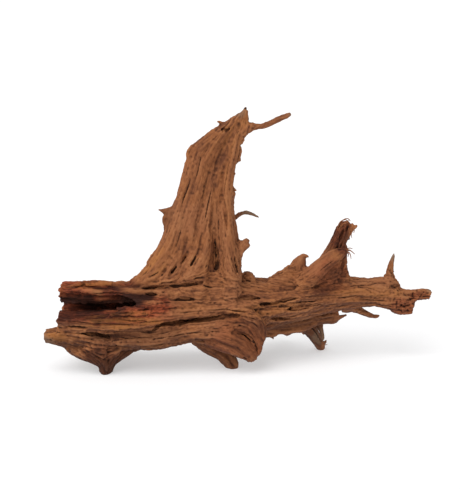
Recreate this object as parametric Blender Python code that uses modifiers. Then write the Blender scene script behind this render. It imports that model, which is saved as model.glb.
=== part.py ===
"""A mangrove root: one weathered piece of driftwood, standing on its own root ends.

The wood grew as one piece, so it is one solid. Each limb is a loft through a few stations, and
each station is (x, y, z, half width seen from the front, half depth), all in metres. +X runs
along the trunk from its hollow end to its tips, +Y points to the back and +Z points up.
A voxel remesh fuses the limbs and rounds the crotches between them. Hollows and splits are lofts
too, and are cut away. The root ends are sawn off level with the ground, as they have worn flat.
"""

import math

import bmesh
import bpy
import numpy as np
from mathutils import Matrix
from mathutils.bvhtree import BVHTree

# Driving dimensions
TRUNK_RADIUS = 0.038
FUSING_VOXEL = 0.0016
CARVED_VOXEL = 0.0012
RING_STEP = 0.003
RING_SIDES = 128
FINISHED_TRIANGLES = 11000
LUMP_SIZE = 0.014
LUMP_HEIGHT = 0.0016
RIB_WIDTHS = (0.055, 0.028, 0.016, 0.009)
RIB_HEIGHTS = (0.0034, 0.0028, 0.0022, 0.0015)
REACH = 1.0
SEED = 7

FRONT_TO_BACK = (0.0, 1.0, 0.0)
SIDEWAYS = (1.0, 0.0, 0.0)
UPWARD = (0.0, 0.0, 1.0)

TRUNK = {
    "trunk": [
        (-0.207, 0.000, 0.0675, 0.0355, 0.033),
        (-0.184, 0.000, 0.0660, 0.0385, 0.036),
        (-0.155, 0.002, 0.0645, 0.0390, TRUNK_RADIUS),
        (-0.126, 0.006, 0.0625, TRUNK_RADIUS, TRUNK_RADIUS),
        (-0.096, 0.010, 0.064, 0.037, 0.037),
        (-0.067, 0.015, 0.066, 0.034, 0.035),
        (-0.032, 0.020, 0.069, 0.033, 0.034),
        (0.004, 0.025, 0.071, 0.032, 0.033),
        (0.034, 0.030, 0.072, 0.029, 0.031),
        (0.064, 0.034, 0.075, 0.025, 0.028),
        (0.094, 0.039, 0.079, 0.022, 0.024),
        (0.130, 0.045, 0.081, 0.019, 0.019),
        (0.161, 0.050, 0.080, 0.016, 0.015),
        (0.185, 0.053, 0.078, 0.013, 0.013),
        (0.200, 0.055, 0.076, 0.007, 0.009),
    ],
    "upper_tip": [
        (0.179, 0.052, 0.078, 0.011, 0.010),
        (0.204, 0.055, 0.076, 0.0067, 0.008),
        (0.220, 0.057, 0.075, 0.006, 0.007),
        (0.235, 0.059, 0.075, 0.0055, 0.006),
    ],
    "lower_tip": [
        (0.163, 0.048, 0.074, 0.009, 0.010),
        (0.183, 0.048, 0.070, 0.010, 0.011),
        (0.197, 0.048, 0.065, 0.011, 0.012),
        (0.213, 0.048, 0.062, 0.008, 0.009),
    ],
    "lower_strand": [
        (-0.165, -0.006, 0.046, 0.017, 0.026),
        (-0.126, -0.008, 0.043, 0.014, 0.025),
        (-0.100, -0.009, 0.041, 0.012, 0.024),
        (-0.075, -0.008, 0.0445, 0.0115, 0.023),
        (-0.054, -0.007, 0.0495, 0.0125, 0.023),
        (-0.030, -0.006, 0.0530, 0.0130, 0.023),
        (-0.008, -0.003, 0.0570, 0.0110, 0.020),
        (0.012, 0.002, 0.0600, 0.0050, 0.010),
    ],
    "lower_lip": [
        (-0.135, -0.004, 0.042, 0.015, 0.022),
        (-0.166, -0.010, 0.043, 0.015, 0.020),
        (-0.189, -0.012, 0.042, 0.0135, 0.017),
        (-0.209, -0.012, 0.043, 0.0105, 0.014),
        (-0.224, -0.012, 0.043, 0.0075, 0.010),
    ],
    "top_ridge": [
        (0.037, 0.030, 0.093, 0.008, 0.013),
        (0.053, 0.031, 0.100, 0.010, 0.013),
        (0.066, 0.032, 0.106, 0.008, 0.011),
    ],
    "end_knob": [
        (0.155, 0.049, 0.086, 0.0095, 0.010),
        (0.175, 0.052, 0.087, 0.010, 0.011),
        (0.188, 0.054, 0.086, 0.008, 0.009),
        (0.194, 0.054, 0.085, 0.004, 0.006),
    ],
    "underside_skirt": [
        (0.018, 0.033, 0.048, 0.0145, 0.014),
        (0.040, 0.038, 0.043, 0.0145, 0.012),
        (0.058, 0.042, 0.042, 0.0125, 0.011),
        (0.079, 0.046, 0.045, 0.0115, 0.011),
        (0.099, 0.050, 0.051, 0.0097, 0.012),
        (0.117, 0.050, 0.052, 0.0097, 0.009),
        (0.123, 0.050, 0.053, 0.006, 0.006),
    ],
    "left_hump": [
        (0.012, 0.028, 0.095, 0.015, 0.016),
        (0.012, 0.029, 0.106, 0.009, 0.010),
        (0.011, 0.030, 0.111, 0.004, 0.005),
    ],
}

FEET = {
    "toe": [
        (-0.160, -0.004, 0.045, 0.0445, 0.026),
        (-0.162, -0.008, 0.026, 0.037, 0.023),
        (-0.160, -0.010, 0.018, 0.028, 0.019),
        (-0.156, -0.012, 0.013, 0.019, 0.016),
        (-0.154, -0.014, 0.007, 0.013, 0.013),
        (-0.154, -0.014, -0.004, 0.008, 0.010),
    ],
    "middle_foot": [
        (-0.046, 0.012, 0.040, 0.013, 0.018),
        (-0.028, 0.012, 0.025, 0.012, 0.015),
        (-0.016, 0.010, 0.016, 0.010, 0.013),
        (-0.010, 0.008, 0.009, 0.009, 0.012),
        (-0.006, 0.007, 0.003, 0.0083, 0.011),
        (-0.004, 0.007, -0.004, 0.0065, 0.010),
    ],
    "back_foot": [
        (0.078, 0.056, 0.043, 0.011, 0.011),
        (0.090, 0.066, 0.029, 0.0085, 0.009),
        (0.098, 0.075, 0.015, 0.0065, 0.008),
        (0.104, 0.083, 0.003, 0.0056, 0.0075),
        (0.107, 0.086, -0.005, 0.005, 0.007),
    ],
    "rear_foot": [
        (-0.150, 0.012, 0.056, 0.029, 0.026),
        (-0.153, 0.036, 0.047, 0.020, 0.019),
        (-0.157, 0.053, 0.033, 0.0125, 0.013),
        (-0.156, 0.061, 0.019, 0.0100, 0.0105),
        (-0.151, 0.067, 0.006, 0.0080, 0.0085),
        (-0.149, 0.069, -0.006, 0.0060, 0.006),
    ],
}

ROOTS = {
    "knuckle_tongue": [
        (-0.055, 0.002, 0.052, 0.015, 0.020),
        (-0.026, -0.006, 0.044, 0.016, 0.020),
        (-0.001, -0.013, 0.035, 0.0145, 0.017),
        (0.014, -0.016, 0.025, 0.0105, 0.012),
        (0.020, -0.016, 0.016, 0.0065, 0.008),
    ],
    "knuckle_curl": [
        (-0.004, 0.008, 0.069, 0.0165, 0.024),
        (0.017, 0.000, 0.057, 0.015, 0.022),
        (0.026, -0.005, 0.043, 0.0100, 0.018),
        (0.029, -0.008, 0.030, 0.0070, 0.013),
        (0.026, -0.008, 0.018, 0.0050, 0.009),
    ],
    "back_foot_hook": [
        (0.104, 0.082, 0.006, 0.003, 0.0035),
        (0.109, 0.083, 0.007, 0.0022, 0.0026),
        (0.112, 0.083, 0.010, 0.0013, 0.0015),
    ],
    "hanging_rootlet": [
        (0.098, 0.058, 0.049, 0.0070, 0.0080),
        (0.102, 0.060, 0.035, 0.0038, 0.0045),
        (0.105, 0.061, 0.024, 0.0027, 0.0032),
        (0.106, 0.062, 0.016, 0.0020, 0.0022),
    ],
    "curved_root": [
        (0.129, 0.054, 0.064, 0.0097, 0.010),
        (0.146, 0.057, 0.057, 0.0053, 0.006),
        (0.159, 0.060, 0.050, 0.0039, 0.0045),
        (0.168, 0.061, 0.047, 0.0032, 0.0035),
        (0.173, 0.062, 0.048, 0.0022, 0.0026),
        (0.176, 0.062, 0.049, 0.0013, 0.0015),
    ],
    "thorn": [
        (0.183, 0.052, 0.085, 0.012, 0.010),
        (0.184, 0.052, 0.099, 0.0063, 0.0065),
        (0.185, 0.052, 0.113, 0.0038, 0.0042),
        (0.188, 0.052, 0.124, 0.0023, 0.0026),
        (0.189, 0.052, 0.130, 0.0012, 0.0014),
    ],
    "fork_back": [
        (0.096, 0.044, 0.092, 0.0215, 0.017),
        (0.107, 0.048, 0.117, 0.0125, 0.0125),
        (0.117, 0.050, 0.136, 0.0103, 0.010),
        (0.124, 0.052, 0.148, 0.0101, 0.009),
        (0.128, 0.053, 0.159, 0.0091, 0.008),
        (0.130, 0.054, 0.167, 0.0048, 0.006),
    ],
    "fork_front": [
        (0.073, 0.024, 0.095, 0.0107, 0.011),
        (0.090, 0.021, 0.110, 0.010, 0.011),
        (0.105, 0.024, 0.123, 0.0085, 0.009),
        (0.119, 0.030, 0.131, 0.0071, 0.008),
        (0.129, 0.035, 0.135, 0.0042, 0.005),
    ],
    "fork_side": [
        (0.119, 0.042, 0.090, 0.0205, 0.015),
        (0.122, 0.042, 0.107, 0.0114, 0.011),
        (0.125, 0.044, 0.124, 0.0066, 0.008),
        (0.127, 0.046, 0.138, 0.0057, 0.007),
    ],
    "fork_crown": [
        (0.131, 0.052, 0.153, 0.0054, 0.006),
        (0.137, 0.051, 0.159, 0.0043, 0.005),
        (0.141, 0.050, 0.162, 0.0023, 0.0028),
    ],
    "stub": [
        (0.071, 0.032, 0.095, 0.0143, 0.013),
        (0.073, 0.032, 0.111, 0.0102, 0.0095),
        (0.074, 0.032, 0.121, 0.0085, 0.008),
        (0.076, 0.031, 0.128, 0.0053, 0.0055),
    ],
    "stub_hook": [
        (0.076, 0.031, 0.127, 0.0031, 0.004),
        (0.080, 0.031, 0.129, 0.0021, 0.0026),
        (0.084, 0.031, 0.128, 0.0013, 0.0015),
    ],
    "rear_stub": [
        (-0.026, 0.034, 0.072, 0.027, 0.023),
        (-0.031, 0.056, 0.082, 0.0165, 0.015),
        (-0.035, 0.071, 0.090, 0.0115, 0.012),
        (-0.036, 0.082, 0.097, 0.0090, 0.010),
        (-0.036, 0.088, 0.101, 0.0070, 0.008),
    ],
    "rear_splinter": [
        (-0.037, 0.078, 0.099, 0.0050, 0.0050),
        (-0.035, 0.091, 0.110, 0.0028, 0.0030),
        (-0.033, 0.097, 0.117, 0.0016, 0.0018),
    ],
    "rear_root": [
        (0.022, 0.038, 0.064, 0.024, 0.020),
        (0.034, 0.062, 0.054, 0.014, 0.014),
        (0.045, 0.083, 0.043, 0.0095, 0.010),
        (0.052, 0.100, 0.032, 0.0065, 0.007),
        (0.054, 0.110, 0.021, 0.004, 0.0045),
        (0.054, 0.114, 0.012, 0.002, 0.0022),
    ],
    "rear_strand": [
        (-0.196, 0.014, 0.072, 0.014, 0.022),
        (-0.140, 0.022, 0.070, 0.017, 0.024),
        (-0.080, 0.028, 0.066, 0.015, 0.024),
        (-0.020, 0.036, 0.064, 0.016, 0.024),
        (0.045, 0.044, 0.070, 0.013, 0.022),
        (0.100, 0.049, 0.076, 0.010, 0.018),
    ],
}

SLAB = {
    "slab": [
        (-0.062, 0.014, 0.070, 0.068, 0.029),
        (-0.062, 0.013, 0.088, 0.068, 0.0265),
        (-0.060, 0.013, 0.104, 0.0645, 0.0235),
        (-0.053, 0.013, 0.117, 0.0575, 0.020),
        (-0.049, 0.013, 0.131, 0.053, 0.017),
        (-0.044, 0.013, 0.144, 0.049, 0.015),
        (-0.042, 0.013, 0.159, 0.0445, 0.014),
        (-0.042, 0.013, 0.174, 0.042, 0.013),
        (-0.040, 0.013, 0.188, 0.037, 0.0125),
        (-0.037, 0.013, 0.204, 0.034, 0.012),
        (-0.035, 0.013, 0.220, 0.031, 0.011),
        (-0.033, 0.013, 0.238, 0.029, 0.010),
        (-0.026, 0.012, 0.252, 0.031, 0.0095),
        (-0.024, 0.011, 0.263, 0.029, 0.009),
        (-0.017, 0.010, 0.273, 0.025, 0.0085),
        (-0.009, 0.009, 0.282, 0.020, 0.008),
        (0.000, 0.008, 0.292, 0.013, 0.007),
        (0.006, 0.007, 0.301, 0.007, 0.0055),
        (0.010, 0.006, 0.308, 0.002, 0.0025),
    ],
    "right_edge_rib": [
        (0.001, 0.008, 0.275, 0.004, 0.006),
        (-0.007, 0.007, 0.240, 0.006, 0.008),
        (-0.011, 0.006, 0.205, 0.006, 0.0085),
        (-0.011, 0.005, 0.175, 0.007, 0.0095),
        (-0.008, 0.004, 0.145, 0.008, 0.012),
        (-0.006, 0.004, 0.118, 0.010, 0.015),
        (-0.006, 0.008, 0.090, 0.012, 0.020),
        (-0.004, 0.012, 0.070, 0.012, 0.020),
    ],
    "left_front_rib": [
        (-0.064, 0.012, 0.215, 0.003, 0.006),
        (-0.068, 0.010, 0.190, 0.006, 0.009),
        (-0.074, 0.009, 0.162, 0.008, 0.011),
        (-0.085, 0.010, 0.135, 0.010, 0.015),
        (-0.102, 0.012, 0.108, 0.011, 0.017),
        (-0.116, 0.014, 0.086, 0.008, 0.014),
    ],
    "slab_back_rib": [
        (-0.040, 0.022, 0.100, 0.015, 0.016),
        (-0.048, 0.028, 0.140, 0.011, 0.013),
        (-0.044, 0.026, 0.185, 0.008, 0.009),
        (-0.036, 0.021, 0.225, 0.004, 0.005),
    ],
    "left_thorn": [
        (-0.069, 0.015, 0.181, 0.0105, 0.008),
        (-0.079, 0.015, 0.184, 0.0076, 0.006),
        (-0.084, 0.015, 0.186, 0.0035, 0.0034),
        (-0.089, 0.015, 0.188, 0.0012, 0.0014),
    ],
    "top_thorn": [
        (-0.006, 0.009, 0.285, 0.0052, 0.005),
        (-0.015, 0.009, 0.288, 0.0025, 0.003),
        (-0.021, 0.009, 0.290, 0.0012, 0.0014),
    ],
    "top_twig": [
        (0.001, 0.009, 0.279, 0.0092, 0.008),
        (0.016, 0.007, 0.286, 0.005, 0.0055),
        (0.029, 0.005, 0.287, 0.0038, 0.0042),
        (0.040, 0.002, 0.292, 0.0036, 0.004),
        (0.050, 0.000, 0.297, 0.0039, 0.0038),
        (0.058, -0.002, 0.300, 0.003, 0.0032),
        (0.061, -0.003, 0.302, 0.0014, 0.0018),
    ],
    "side_twig": [
        (-0.015, 0.022, 0.170, 0.004, 0.005),
        (-0.003, 0.030, 0.175, 0.0028, 0.0032),
        (0.004, 0.034, 0.179, 0.0022, 0.0024),
        (0.011, 0.036, 0.180, 0.0020, 0.0022),
        (0.018, 0.037, 0.178, 0.0018, 0.0019),
        (0.025, 0.038, 0.175, 0.0014, 0.0015),
    ],
    "side_stub": [
        (-0.010, 0.012, 0.129, 0.0117, 0.012),
        (0.000, 0.010, 0.140, 0.0082, 0.009),
        (0.009, 0.008, 0.147, 0.0061, 0.007),
        (0.014, 0.007, 0.151, 0.0044, 0.005),
    ],
    "edge_bump_top": [
        (-0.001, 0.009, 0.270, 0.0063, 0.007),
        (0.008, 0.009, 0.272, 0.003, 0.0036),
    ],
    "edge_bump_upper": [
        (-0.007, 0.011, 0.247, 0.0081, 0.008),
        (0.002, 0.011, 0.252, 0.006, 0.0065),
    ],
    "edge_bump_middle": [
        (-0.014, 0.012, 0.221, 0.0069, 0.007),
        (-0.005, 0.012, 0.225, 0.003, 0.004),
    ],
    "edge_bump_lower": [
        (-0.011, 0.013, 0.205, 0.0081, 0.008),
        (-0.003, 0.013, 0.210, 0.003, 0.004),
    ],
}

HOLLOWS = {
    "end_trough": [
        (-0.240, -0.034, 0.0855, 0.0165, 0.027),
        (-0.190, -0.034, 0.0855, 0.0165, 0.026),
        (-0.157, -0.032, 0.0852, 0.0152, 0.024),
        (-0.146, -0.032, 0.0865, 0.0120, 0.025),
        (-0.131, -0.032, 0.0870, 0.0075, 0.026),
        (-0.115, -0.030, 0.0840, 0.0030, 0.012),
    ],
    "end_slot": [
        (-0.240, -0.010, 0.0770, 0.0050, 0.030),
        (-0.160, -0.010, 0.0775, 0.0045, 0.028),
        (-0.136, -0.012, 0.0780, 0.0040, 0.024),
        (-0.117, -0.020, 0.0810, 0.0030, 0.012),
    ],
    "heart_hollow": [
        (-0.240, 0.008, 0.074, 0.013, 0.015),
        (-0.190, 0.008, 0.074, 0.011, 0.014),
        (-0.150, 0.010, 0.075, 0.007, 0.010),
        (-0.125, 0.010, 0.076, 0.003, 0.005),
    ],
    "broken_top": [
        (-0.240, 0.000, 0.111, 0.0085, 0.045),
        (-0.200, 0.000, 0.111, 0.0085, 0.045),
        (-0.186, 0.000, 0.112, 0.0075, 0.042),
    ],
}

# Each split is (x, z, half width, depth), read from the front, and is laid on the surface.
SPLITS_IN_FRONT = {
    "long": [
        (-0.104, 0.051, 0.0006, 0.003),
        (-0.095, 0.055, 0.0016, 0.009),
        (-0.089, 0.059, 0.0020, 0.012),
        (-0.072, 0.061, 0.0026, 0.014),
        (-0.043, 0.064, 0.0028, 0.015),
        (-0.020, 0.066, 0.0022, 0.013),
        (0.004, 0.069, 0.0016, 0.010),
        (0.023, 0.069, 0.0006, 0.003),
    ],
    "knuckle": [
        (-0.009, 0.054, 0.0010, 0.003),
        (0.004, 0.049, 0.0020, 0.009),
        (0.012, 0.044, 0.0023, 0.009),
        (0.018, 0.038, 0.0022, 0.006),
        (0.022, 0.031, 0.0016, 0.003),
        (0.024, 0.026, 0.0008, 0.002),
    ],
    "upper": [
        (-0.113, 0.098, 0.0007, 0.003),
        (-0.099, 0.099, 0.0021, 0.007),
        (-0.080, 0.102, 0.0021, 0.007),
        (-0.060, 0.104, 0.0023, 0.007),
        (-0.045, 0.106, 0.0018, 0.006),
        (-0.031, 0.109, 0.0007, 0.002),
    ],
    "left_short": [
        (-0.110, 0.093, 0.0007, 0.002),
        (-0.098, 0.093, 0.0021, 0.006),
        (-0.087, 0.093, 0.0007, 0.002),
    ],
    "middle_short": [
        (-0.075, 0.088, 0.0007, 0.002),
        (-0.062, 0.088, 0.0021, 0.006),
        (-0.046, 0.089, 0.0007, 0.002),
    ],
    "middle": [
        (-0.004, 0.087, 0.0009, 0.003),
        (0.007, 0.087, 0.0029, 0.008),
        (0.019, 0.086, 0.0029, 0.008),
        (0.030, 0.084, 0.0009, 0.003),
    ],
    "middle_lower": [
        (0.021, 0.078, 0.0007, 0.002),
        (0.032, 0.079, 0.0023, 0.007),
        (0.044, 0.079, 0.0018, 0.006),
        (0.058, 0.082, 0.0023, 0.006),
        (0.074, 0.085, 0.0009, 0.002),
    ],
    "right_groove": [
        (0.057, 0.069, 0.0009, 0.003),
        (0.070, 0.071, 0.0029, 0.008),
        (0.081, 0.073, 0.0031, 0.009),
        (0.092, 0.072, 0.0009, 0.003),
    ],
    "lower_groove": [
        (0.038, 0.059, 0.0009, 0.003),
        (0.044, 0.059, 0.0026, 0.008),
        (0.054, 0.058, 0.0023, 0.007),
        (0.068, 0.057, 0.0009, 0.003),
    ],
    "leaning_a": [
        (-0.066, 0.124, 0.0010, 0.003),
        (-0.061, 0.133, 0.0026, 0.007),
        (-0.056, 0.143, 0.0009, 0.002),
    ],
    "leaning_b": [
        (-0.056, 0.122, 0.0007, 0.003),
        (-0.051, 0.131, 0.0018, 0.006),
        (-0.045, 0.139, 0.0007, 0.002),
    ],
    "leaning_c": [
        (-0.079, 0.113, 0.0010, 0.003),
        (-0.074, 0.120, 0.0029, 0.007),
        (-0.069, 0.128, 0.0009, 0.002),
    ],
    "pit_row": [
        (-0.026, 0.150, 0.0010, 0.003),
        (-0.024, 0.140, 0.0034, 0.009),
        (-0.024, 0.134, 0.0021, 0.006),
        (-0.024, 0.127, 0.0034, 0.009),
        (-0.023, 0.118, 0.0020, 0.004),
    ],
    "corner_pit": [
        (-0.002, 0.137, 0.0009, 0.003),
        (-0.001, 0.126, 0.0031, 0.008),
        (-0.002, 0.115, 0.0020, 0.005),
    ],
    "lip_pit": [
        (-0.182, 0.052, 0.0008, 0.003),
        (-0.167, 0.051, 0.0030, 0.011),
        (-0.153, 0.048, 0.0036, 0.013),
        (-0.144, 0.042, 0.0012, 0.004),
    ],
    "shoulder": [
        (-0.021, 0.284, 0.0005, 0.003),
        (-0.013, 0.283, 0.0020, 0.007),
        (-0.004, 0.286, 0.0006, 0.003),
    ],
    "right_valley": [
        (-0.017, 0.209, 0.0009, 0.002),
        (-0.015, 0.194, 0.0029, 0.006),
        (-0.012, 0.177, 0.0023, 0.005),
        (-0.012, 0.161, 0.0009, 0.002),
    ],
    "fork": [
        (0.130, 0.163, 0.0007, 0.003),
        (0.125, 0.151, 0.0022, 0.007),
        (0.122, 0.140, 0.0009, 0.003),
    ],
    "end": [
        (0.201, 0.077, 0.0007, 0.002),
        (0.214, 0.076, 0.0021, 0.006),
        (0.230, 0.078, 0.0009, 0.003),
    ],
}

SPLITS_BEHIND = {
    "back_upper": [
        (-0.192, 0.076, 0.0009, 0.003),
        (-0.160, 0.079, 0.0029, 0.008),
        (-0.125, 0.080, 0.0031, 0.008),
        (-0.092, 0.084, 0.0009, 0.003),
    ],
    "back_lower": [
        (-0.108, 0.050, 0.0009, 0.003),
        (-0.075, 0.050, 0.0029, 0.007),
        (-0.052, 0.049, 0.0026, 0.007),
        (-0.034, 0.049, 0.0009, 0.003),
    ],
    "back_left_of_slab": [
        (-0.067, 0.108, 0.0010, 0.003),
        (-0.060, 0.135, 0.0031, 0.008),
        (-0.053, 0.162, 0.0023, 0.006),
        (-0.050, 0.182, 0.0009, 0.002),
    ],
    "back_right_of_slab": [
        (-0.021, 0.114, 0.0009, 0.003),
        (-0.022, 0.140, 0.0029, 0.007),
        (-0.022, 0.168, 0.0009, 0.002),
    ],
    "back_of_tip": [
        (-0.030, 0.200, 0.0009, 0.002),
        (-0.024, 0.222, 0.0026, 0.005),
        (-0.017, 0.243, 0.0009, 0.002),
    ],
    "back_right": [
        (0.044, 0.076, 0.0009, 0.003),
        (0.072, 0.080, 0.0029, 0.007),
        (0.104, 0.082, 0.0010, 0.003),
    ],
    "back_of_fork": [
        (0.112, 0.120, 0.0009, 0.002),
        (0.118, 0.138, 0.0023, 0.006),
        (0.122, 0.150, 0.0009, 0.002),
    ],
}

# These limbs run front to back, so their first width is measured across the trunk.
RUNNING_BACK = ("rear_foot", "rear_stub", "rear_splinter", "rear_root")
# These limbs rise, and their sections lie level.
RISING = (
    "slab",
    "toe",
    "thorn",
    "stub",
    "fork_back",
    "fork_side",
    "right_edge_rib",
    "left_front_rib",
    "slab_back_rib",
)
LIMBS = {**TRUNK, **FEET, **ROOTS, **SLAB}


def clear_scene():
    for obj in list(bpy.data.objects):
        bpy.data.objects.remove(obj)


def collection(name):
    made = bpy.data.collections.new(name)
    bpy.context.scene.collection.children.link(made)
    return made


def through_stations(stations, step):
    """A Catmull-Rom curve through the stations, with a ring about every step."""
    knots = np.array(stations, float)
    before = 2 * knots[0] - knots[1]
    after = 2 * knots[-1] - knots[-2]
    knots = np.vstack([before, knots, after])
    rows = []
    for i in range(1, len(knots) - 2):
        p0, p1, p2, p3 = knots[i - 1 : i + 3]
        length = np.linalg.norm(p2[:3] - p1[:3])
        t = np.arange(0, 1, 1 / max(2, round(length / step)))[:, None]
        rows.append(
            0.5
            * (
                2 * p1
                + (p2 - p0) * t
                + (2 * p0 - 5 * p1 + 4 * p2 - p3) * t**2
                + (3 * p1 - p0 - 3 * p2 + p3) * t**3
            )
        )
    rows.append(knots[-2][None])
    return np.vstack(rows)


def ribs(angle, along, radius, random):
    """How far each point stands in or out, in metres: rounded ribs of four widths with sharp
    valleys between them. They drift round the limb and fade in and out along it. They are low
    at the edges of the view from the front, because the stations already give that outline."""
    relief = np.zeros((len(along), len(angle)))
    for width, height in zip(RIB_WIDTHS, RIB_HEIGHTS):
        count = max(2, round(2 * math.pi * radius.max() / width))
        phases = random.uniform(0, 2 * math.pi, 4)
        drift = 1.1 * np.sin(along / (4 * width) + phases[0])
        drift += 0.5 * np.sin(along / (1.7 * width) + phases[1])
        fade = 0.7 + 0.3 * np.sin(along[:, None] / (2.5 * width) + phases[2] + 2 * angle)
        wave = np.abs(np.sin(0.5 * count * angle + phases[3] + drift[:, None]))
        relief += height * fade * (2 * wave - 1.27)
    slender = np.minimum(1, radius / 0.025)[:, None]
    return relief * slender * (1 - 0.6 * np.cos(angle) ** 2)


def loft_limb(name, stations, group, seed, ribbed=True):
    """A closed tube through the stations. Its section is an ellipse, ribbed along its length."""
    rows = through_stations(stations, RING_STEP)
    centre, seen, deep = rows[:, :3], rows[:, 3], rows[:, 4]
    tangent = np.gradient(centre, axis=0)
    tangent /= np.linalg.norm(tangent, axis=1)[:, None]
    facing = SIDEWAYS if name in RUNNING_BACK else FRONT_TO_BACK
    side = np.cross(tangent, facing)
    if name in RISING:
        side = np.tile(SIDEWAYS, (len(rows), 1))
        tangent = np.tile(UPWARD, (len(rows), 1))
    side /= np.linalg.norm(side, axis=1)[:, None]
    inward = np.cross(side, tangent)
    angle = np.linspace(0, 2 * math.pi, RING_SIDES, endpoint=False)
    along = np.concatenate([[0], np.cumsum(np.linalg.norm(np.diff(centre, axis=0), axis=1))])
    relief = np.zeros((len(rows), RING_SIDES))
    if ribbed:
        relief = ribs(angle, along, np.sqrt(seen * deep), np.random.default_rng(seed))
    across = np.cos(angle) * (seen[:, None] + relief)
    through = np.sin(angle) * (deep[:, None] + relief)
    ring = side[:, None, :] * across[:, :, None] + inward[:, None, :] * through[:, :, None]
    points = (centre[:, None, :] + ring).reshape(-1, 3)
    n = RING_SIDES
    faces = [
        (r * n + k, r * n + (k + 1) % n, (r + 1) * n + (k + 1) % n, (r + 1) * n + k)
        for r in range(len(rows) - 1)
        for k in range(n)
    ]
    faces.append(tuple(range(n)))
    faces.append(tuple(range((len(rows) - 1) * n, len(rows) * n)))
    mesh = bpy.data.meshes.new(name)
    mesh.from_pydata(points.tolist(), [], faces)
    outward = bmesh.new()
    outward.from_mesh(mesh)
    bmesh.ops.recalc_face_normals(outward, faces=outward.faces)
    outward.to_mesh(mesh)
    outward.free()
    obj = bpy.data.objects.new(name, mesh)
    group.objects.link(obj)
    return obj


def joined(name, objects, group):
    """One object that holds every limb's shell; the remesh then fuses the overlapping shells."""
    shells = bmesh.new()
    for obj in objects:
        shells.from_mesh(obj.data)
        bpy.data.objects.remove(obj)
    mesh = bpy.data.meshes.new(name)
    shells.to_mesh(mesh)
    shells.free()
    obj = bpy.data.objects.new(name, mesh)
    group.objects.link(obj)
    return obj


def hide_helper(obj):
    obj.hide_render = True
    obj.display_type = "WIRE"


def remesh(obj, name, voxel):
    modifier = obj.modifiers.new(name, "REMESH")
    modifier.mode = "VOXEL"
    modifier.voxel_size = voxel


def cut(obj, cutter, name):
    modifier = obj.modifiers.new(name, "BOOLEAN")
    modifier.operation = "DIFFERENCE"
    modifier.solver = "EXACT"
    modifier.object = cutter


def weather(obj):
    """Rounds the crotches and raises low lumps."""
    smooth = obj.modifiers.new("rounded_crotches", "SMOOTH")
    smooth.factor = 0.5
    smooth.iterations = 4
    lumps = bpy.data.textures.new("lumps", "CLOUDS")
    lumps.noise_scale = LUMP_SIZE
    lumps.noise_depth = 2
    displace = obj.modifiers.new("lumps", "DISPLACE")
    displace.texture = lumps
    displace.texture_coords = "LOCAL"
    displace.strength = LUMP_HEIGHT
    displace.mid_level = 0.5


def applied(obj, group):
    """The object with its modifiers applied, as a new plain mesh."""
    bpy.context.view_layer.update()
    graph = bpy.context.evaluated_depsgraph_get()
    mesh = bpy.data.meshes.new_from_object(obj.evaluated_get(graph))
    name = obj.name
    bpy.data.objects.remove(obj)
    made = bpy.data.objects.new(name, mesh)
    group.objects.link(made)
    return made


def thin_out(obj):
    """Fewer faces where the wood is smooth, down to the finished count."""
    obj.data.calc_loop_triangles()
    decimate = obj.modifiers.new("fewer_faces", "DECIMATE")
    decimate.ratio = FINISHED_TRIANGLES / len(obj.data.loop_triangles)


def ground_block(group):
    """The block under the ground plane, which levels the root ends."""
    bpy.ops.mesh.primitive_cube_add(size=1.0, location=(0.0, 0.0, -0.5))
    block = bpy.context.object
    block.name = "ground_block"
    for holder in list(block.users_collection):
        holder.objects.unlink(block)
    group.objects.link(block)
    hide_helper(block)
    return block


def stand_on_origin(obj):
    """Puts the middle of the bounding box's base at the origin."""
    points = np.array([v.co for v in obj.data.vertices])
    low, high = points.min(axis=0), points.max(axis=0)
    middle = (low + high) / 2
    obj.data.transform(Matrix.Translation((-middle[0], -middle[1], -low[2])))


def wood_material():
    material = bpy.data.materials.new("driftwood")
    material.use_nodes = True
    shader = material.node_tree.nodes["Principled BSDF"]
    shader.inputs["Base Color"].default_value = (0.20, 0.085, 0.040, 1.0)
    shader.inputs["Roughness"].default_value = 0.85
    shader.inputs["Metallic"].default_value = 0.0
    return material


def carve_hollows(root, group):
    for name, stations in HOLLOWS.items():
        hollow = loft_limb(name, stations, group, SEED, ribbed=False)
        hide_helper(hollow)
        cut(root, hollow, name)


def laid_on_surface(stations, tree, facing):
    """Gives each station of a split the depth of the surface that it opens in."""
    laid = []
    for x, z, half_width, depth in stations:
        start = (x, -REACH * facing, z)
        point = tree.ray_cast(start, (0.0, facing, 0.0))[0]
        laid.append((x, point.y, z, half_width, depth))
    return laid


def carve_splits(root, group):
    points = [v.co for v in root.data.vertices]
    faces = [tuple(p.vertices) for p in root.data.polygons]
    tree = BVHTree.FromPolygons(points, faces)
    sides = (("front_splits", SPLITS_IN_FRONT, 1.0), ("back_splits", SPLITS_BEHIND, -1.0))
    for name, splits, facing in sides:
        lofts = [
            loft_limb(key, laid_on_surface(stations, tree, facing), group, SEED, ribbed=False)
            for key, stations in splits.items()
        ]
        cutter = joined(name, lofts, group)
        hide_helper(cutter)
        cut(root, cutter, name)


def main():
    clear_scene()
    model = collection("mangrove_root")
    cutters = collection("cutters")
    limbs = [
        loft_limb(name, stations, model, SEED + i)
        for i, (name, stations) in enumerate(LIMBS.items())
    ]
    root = joined("mangrove_root", limbs, model)
    remesh(root, "fuse_limbs", FUSING_VOXEL)
    root = applied(root, model)
    carve_hollows(root, cutters)
    carve_splits(root, cutters)
    remesh(root, "even_faces", CARVED_VOXEL)
    weather(root)
    root = applied(root, model)
    thin_out(root)
    cut(root, ground_block(cutters), "level_feet")
    root = applied(root, model)
    stand_on_origin(root)
    root.data.materials.clear()
    root.data.materials.append(wood_material())


main()
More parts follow.
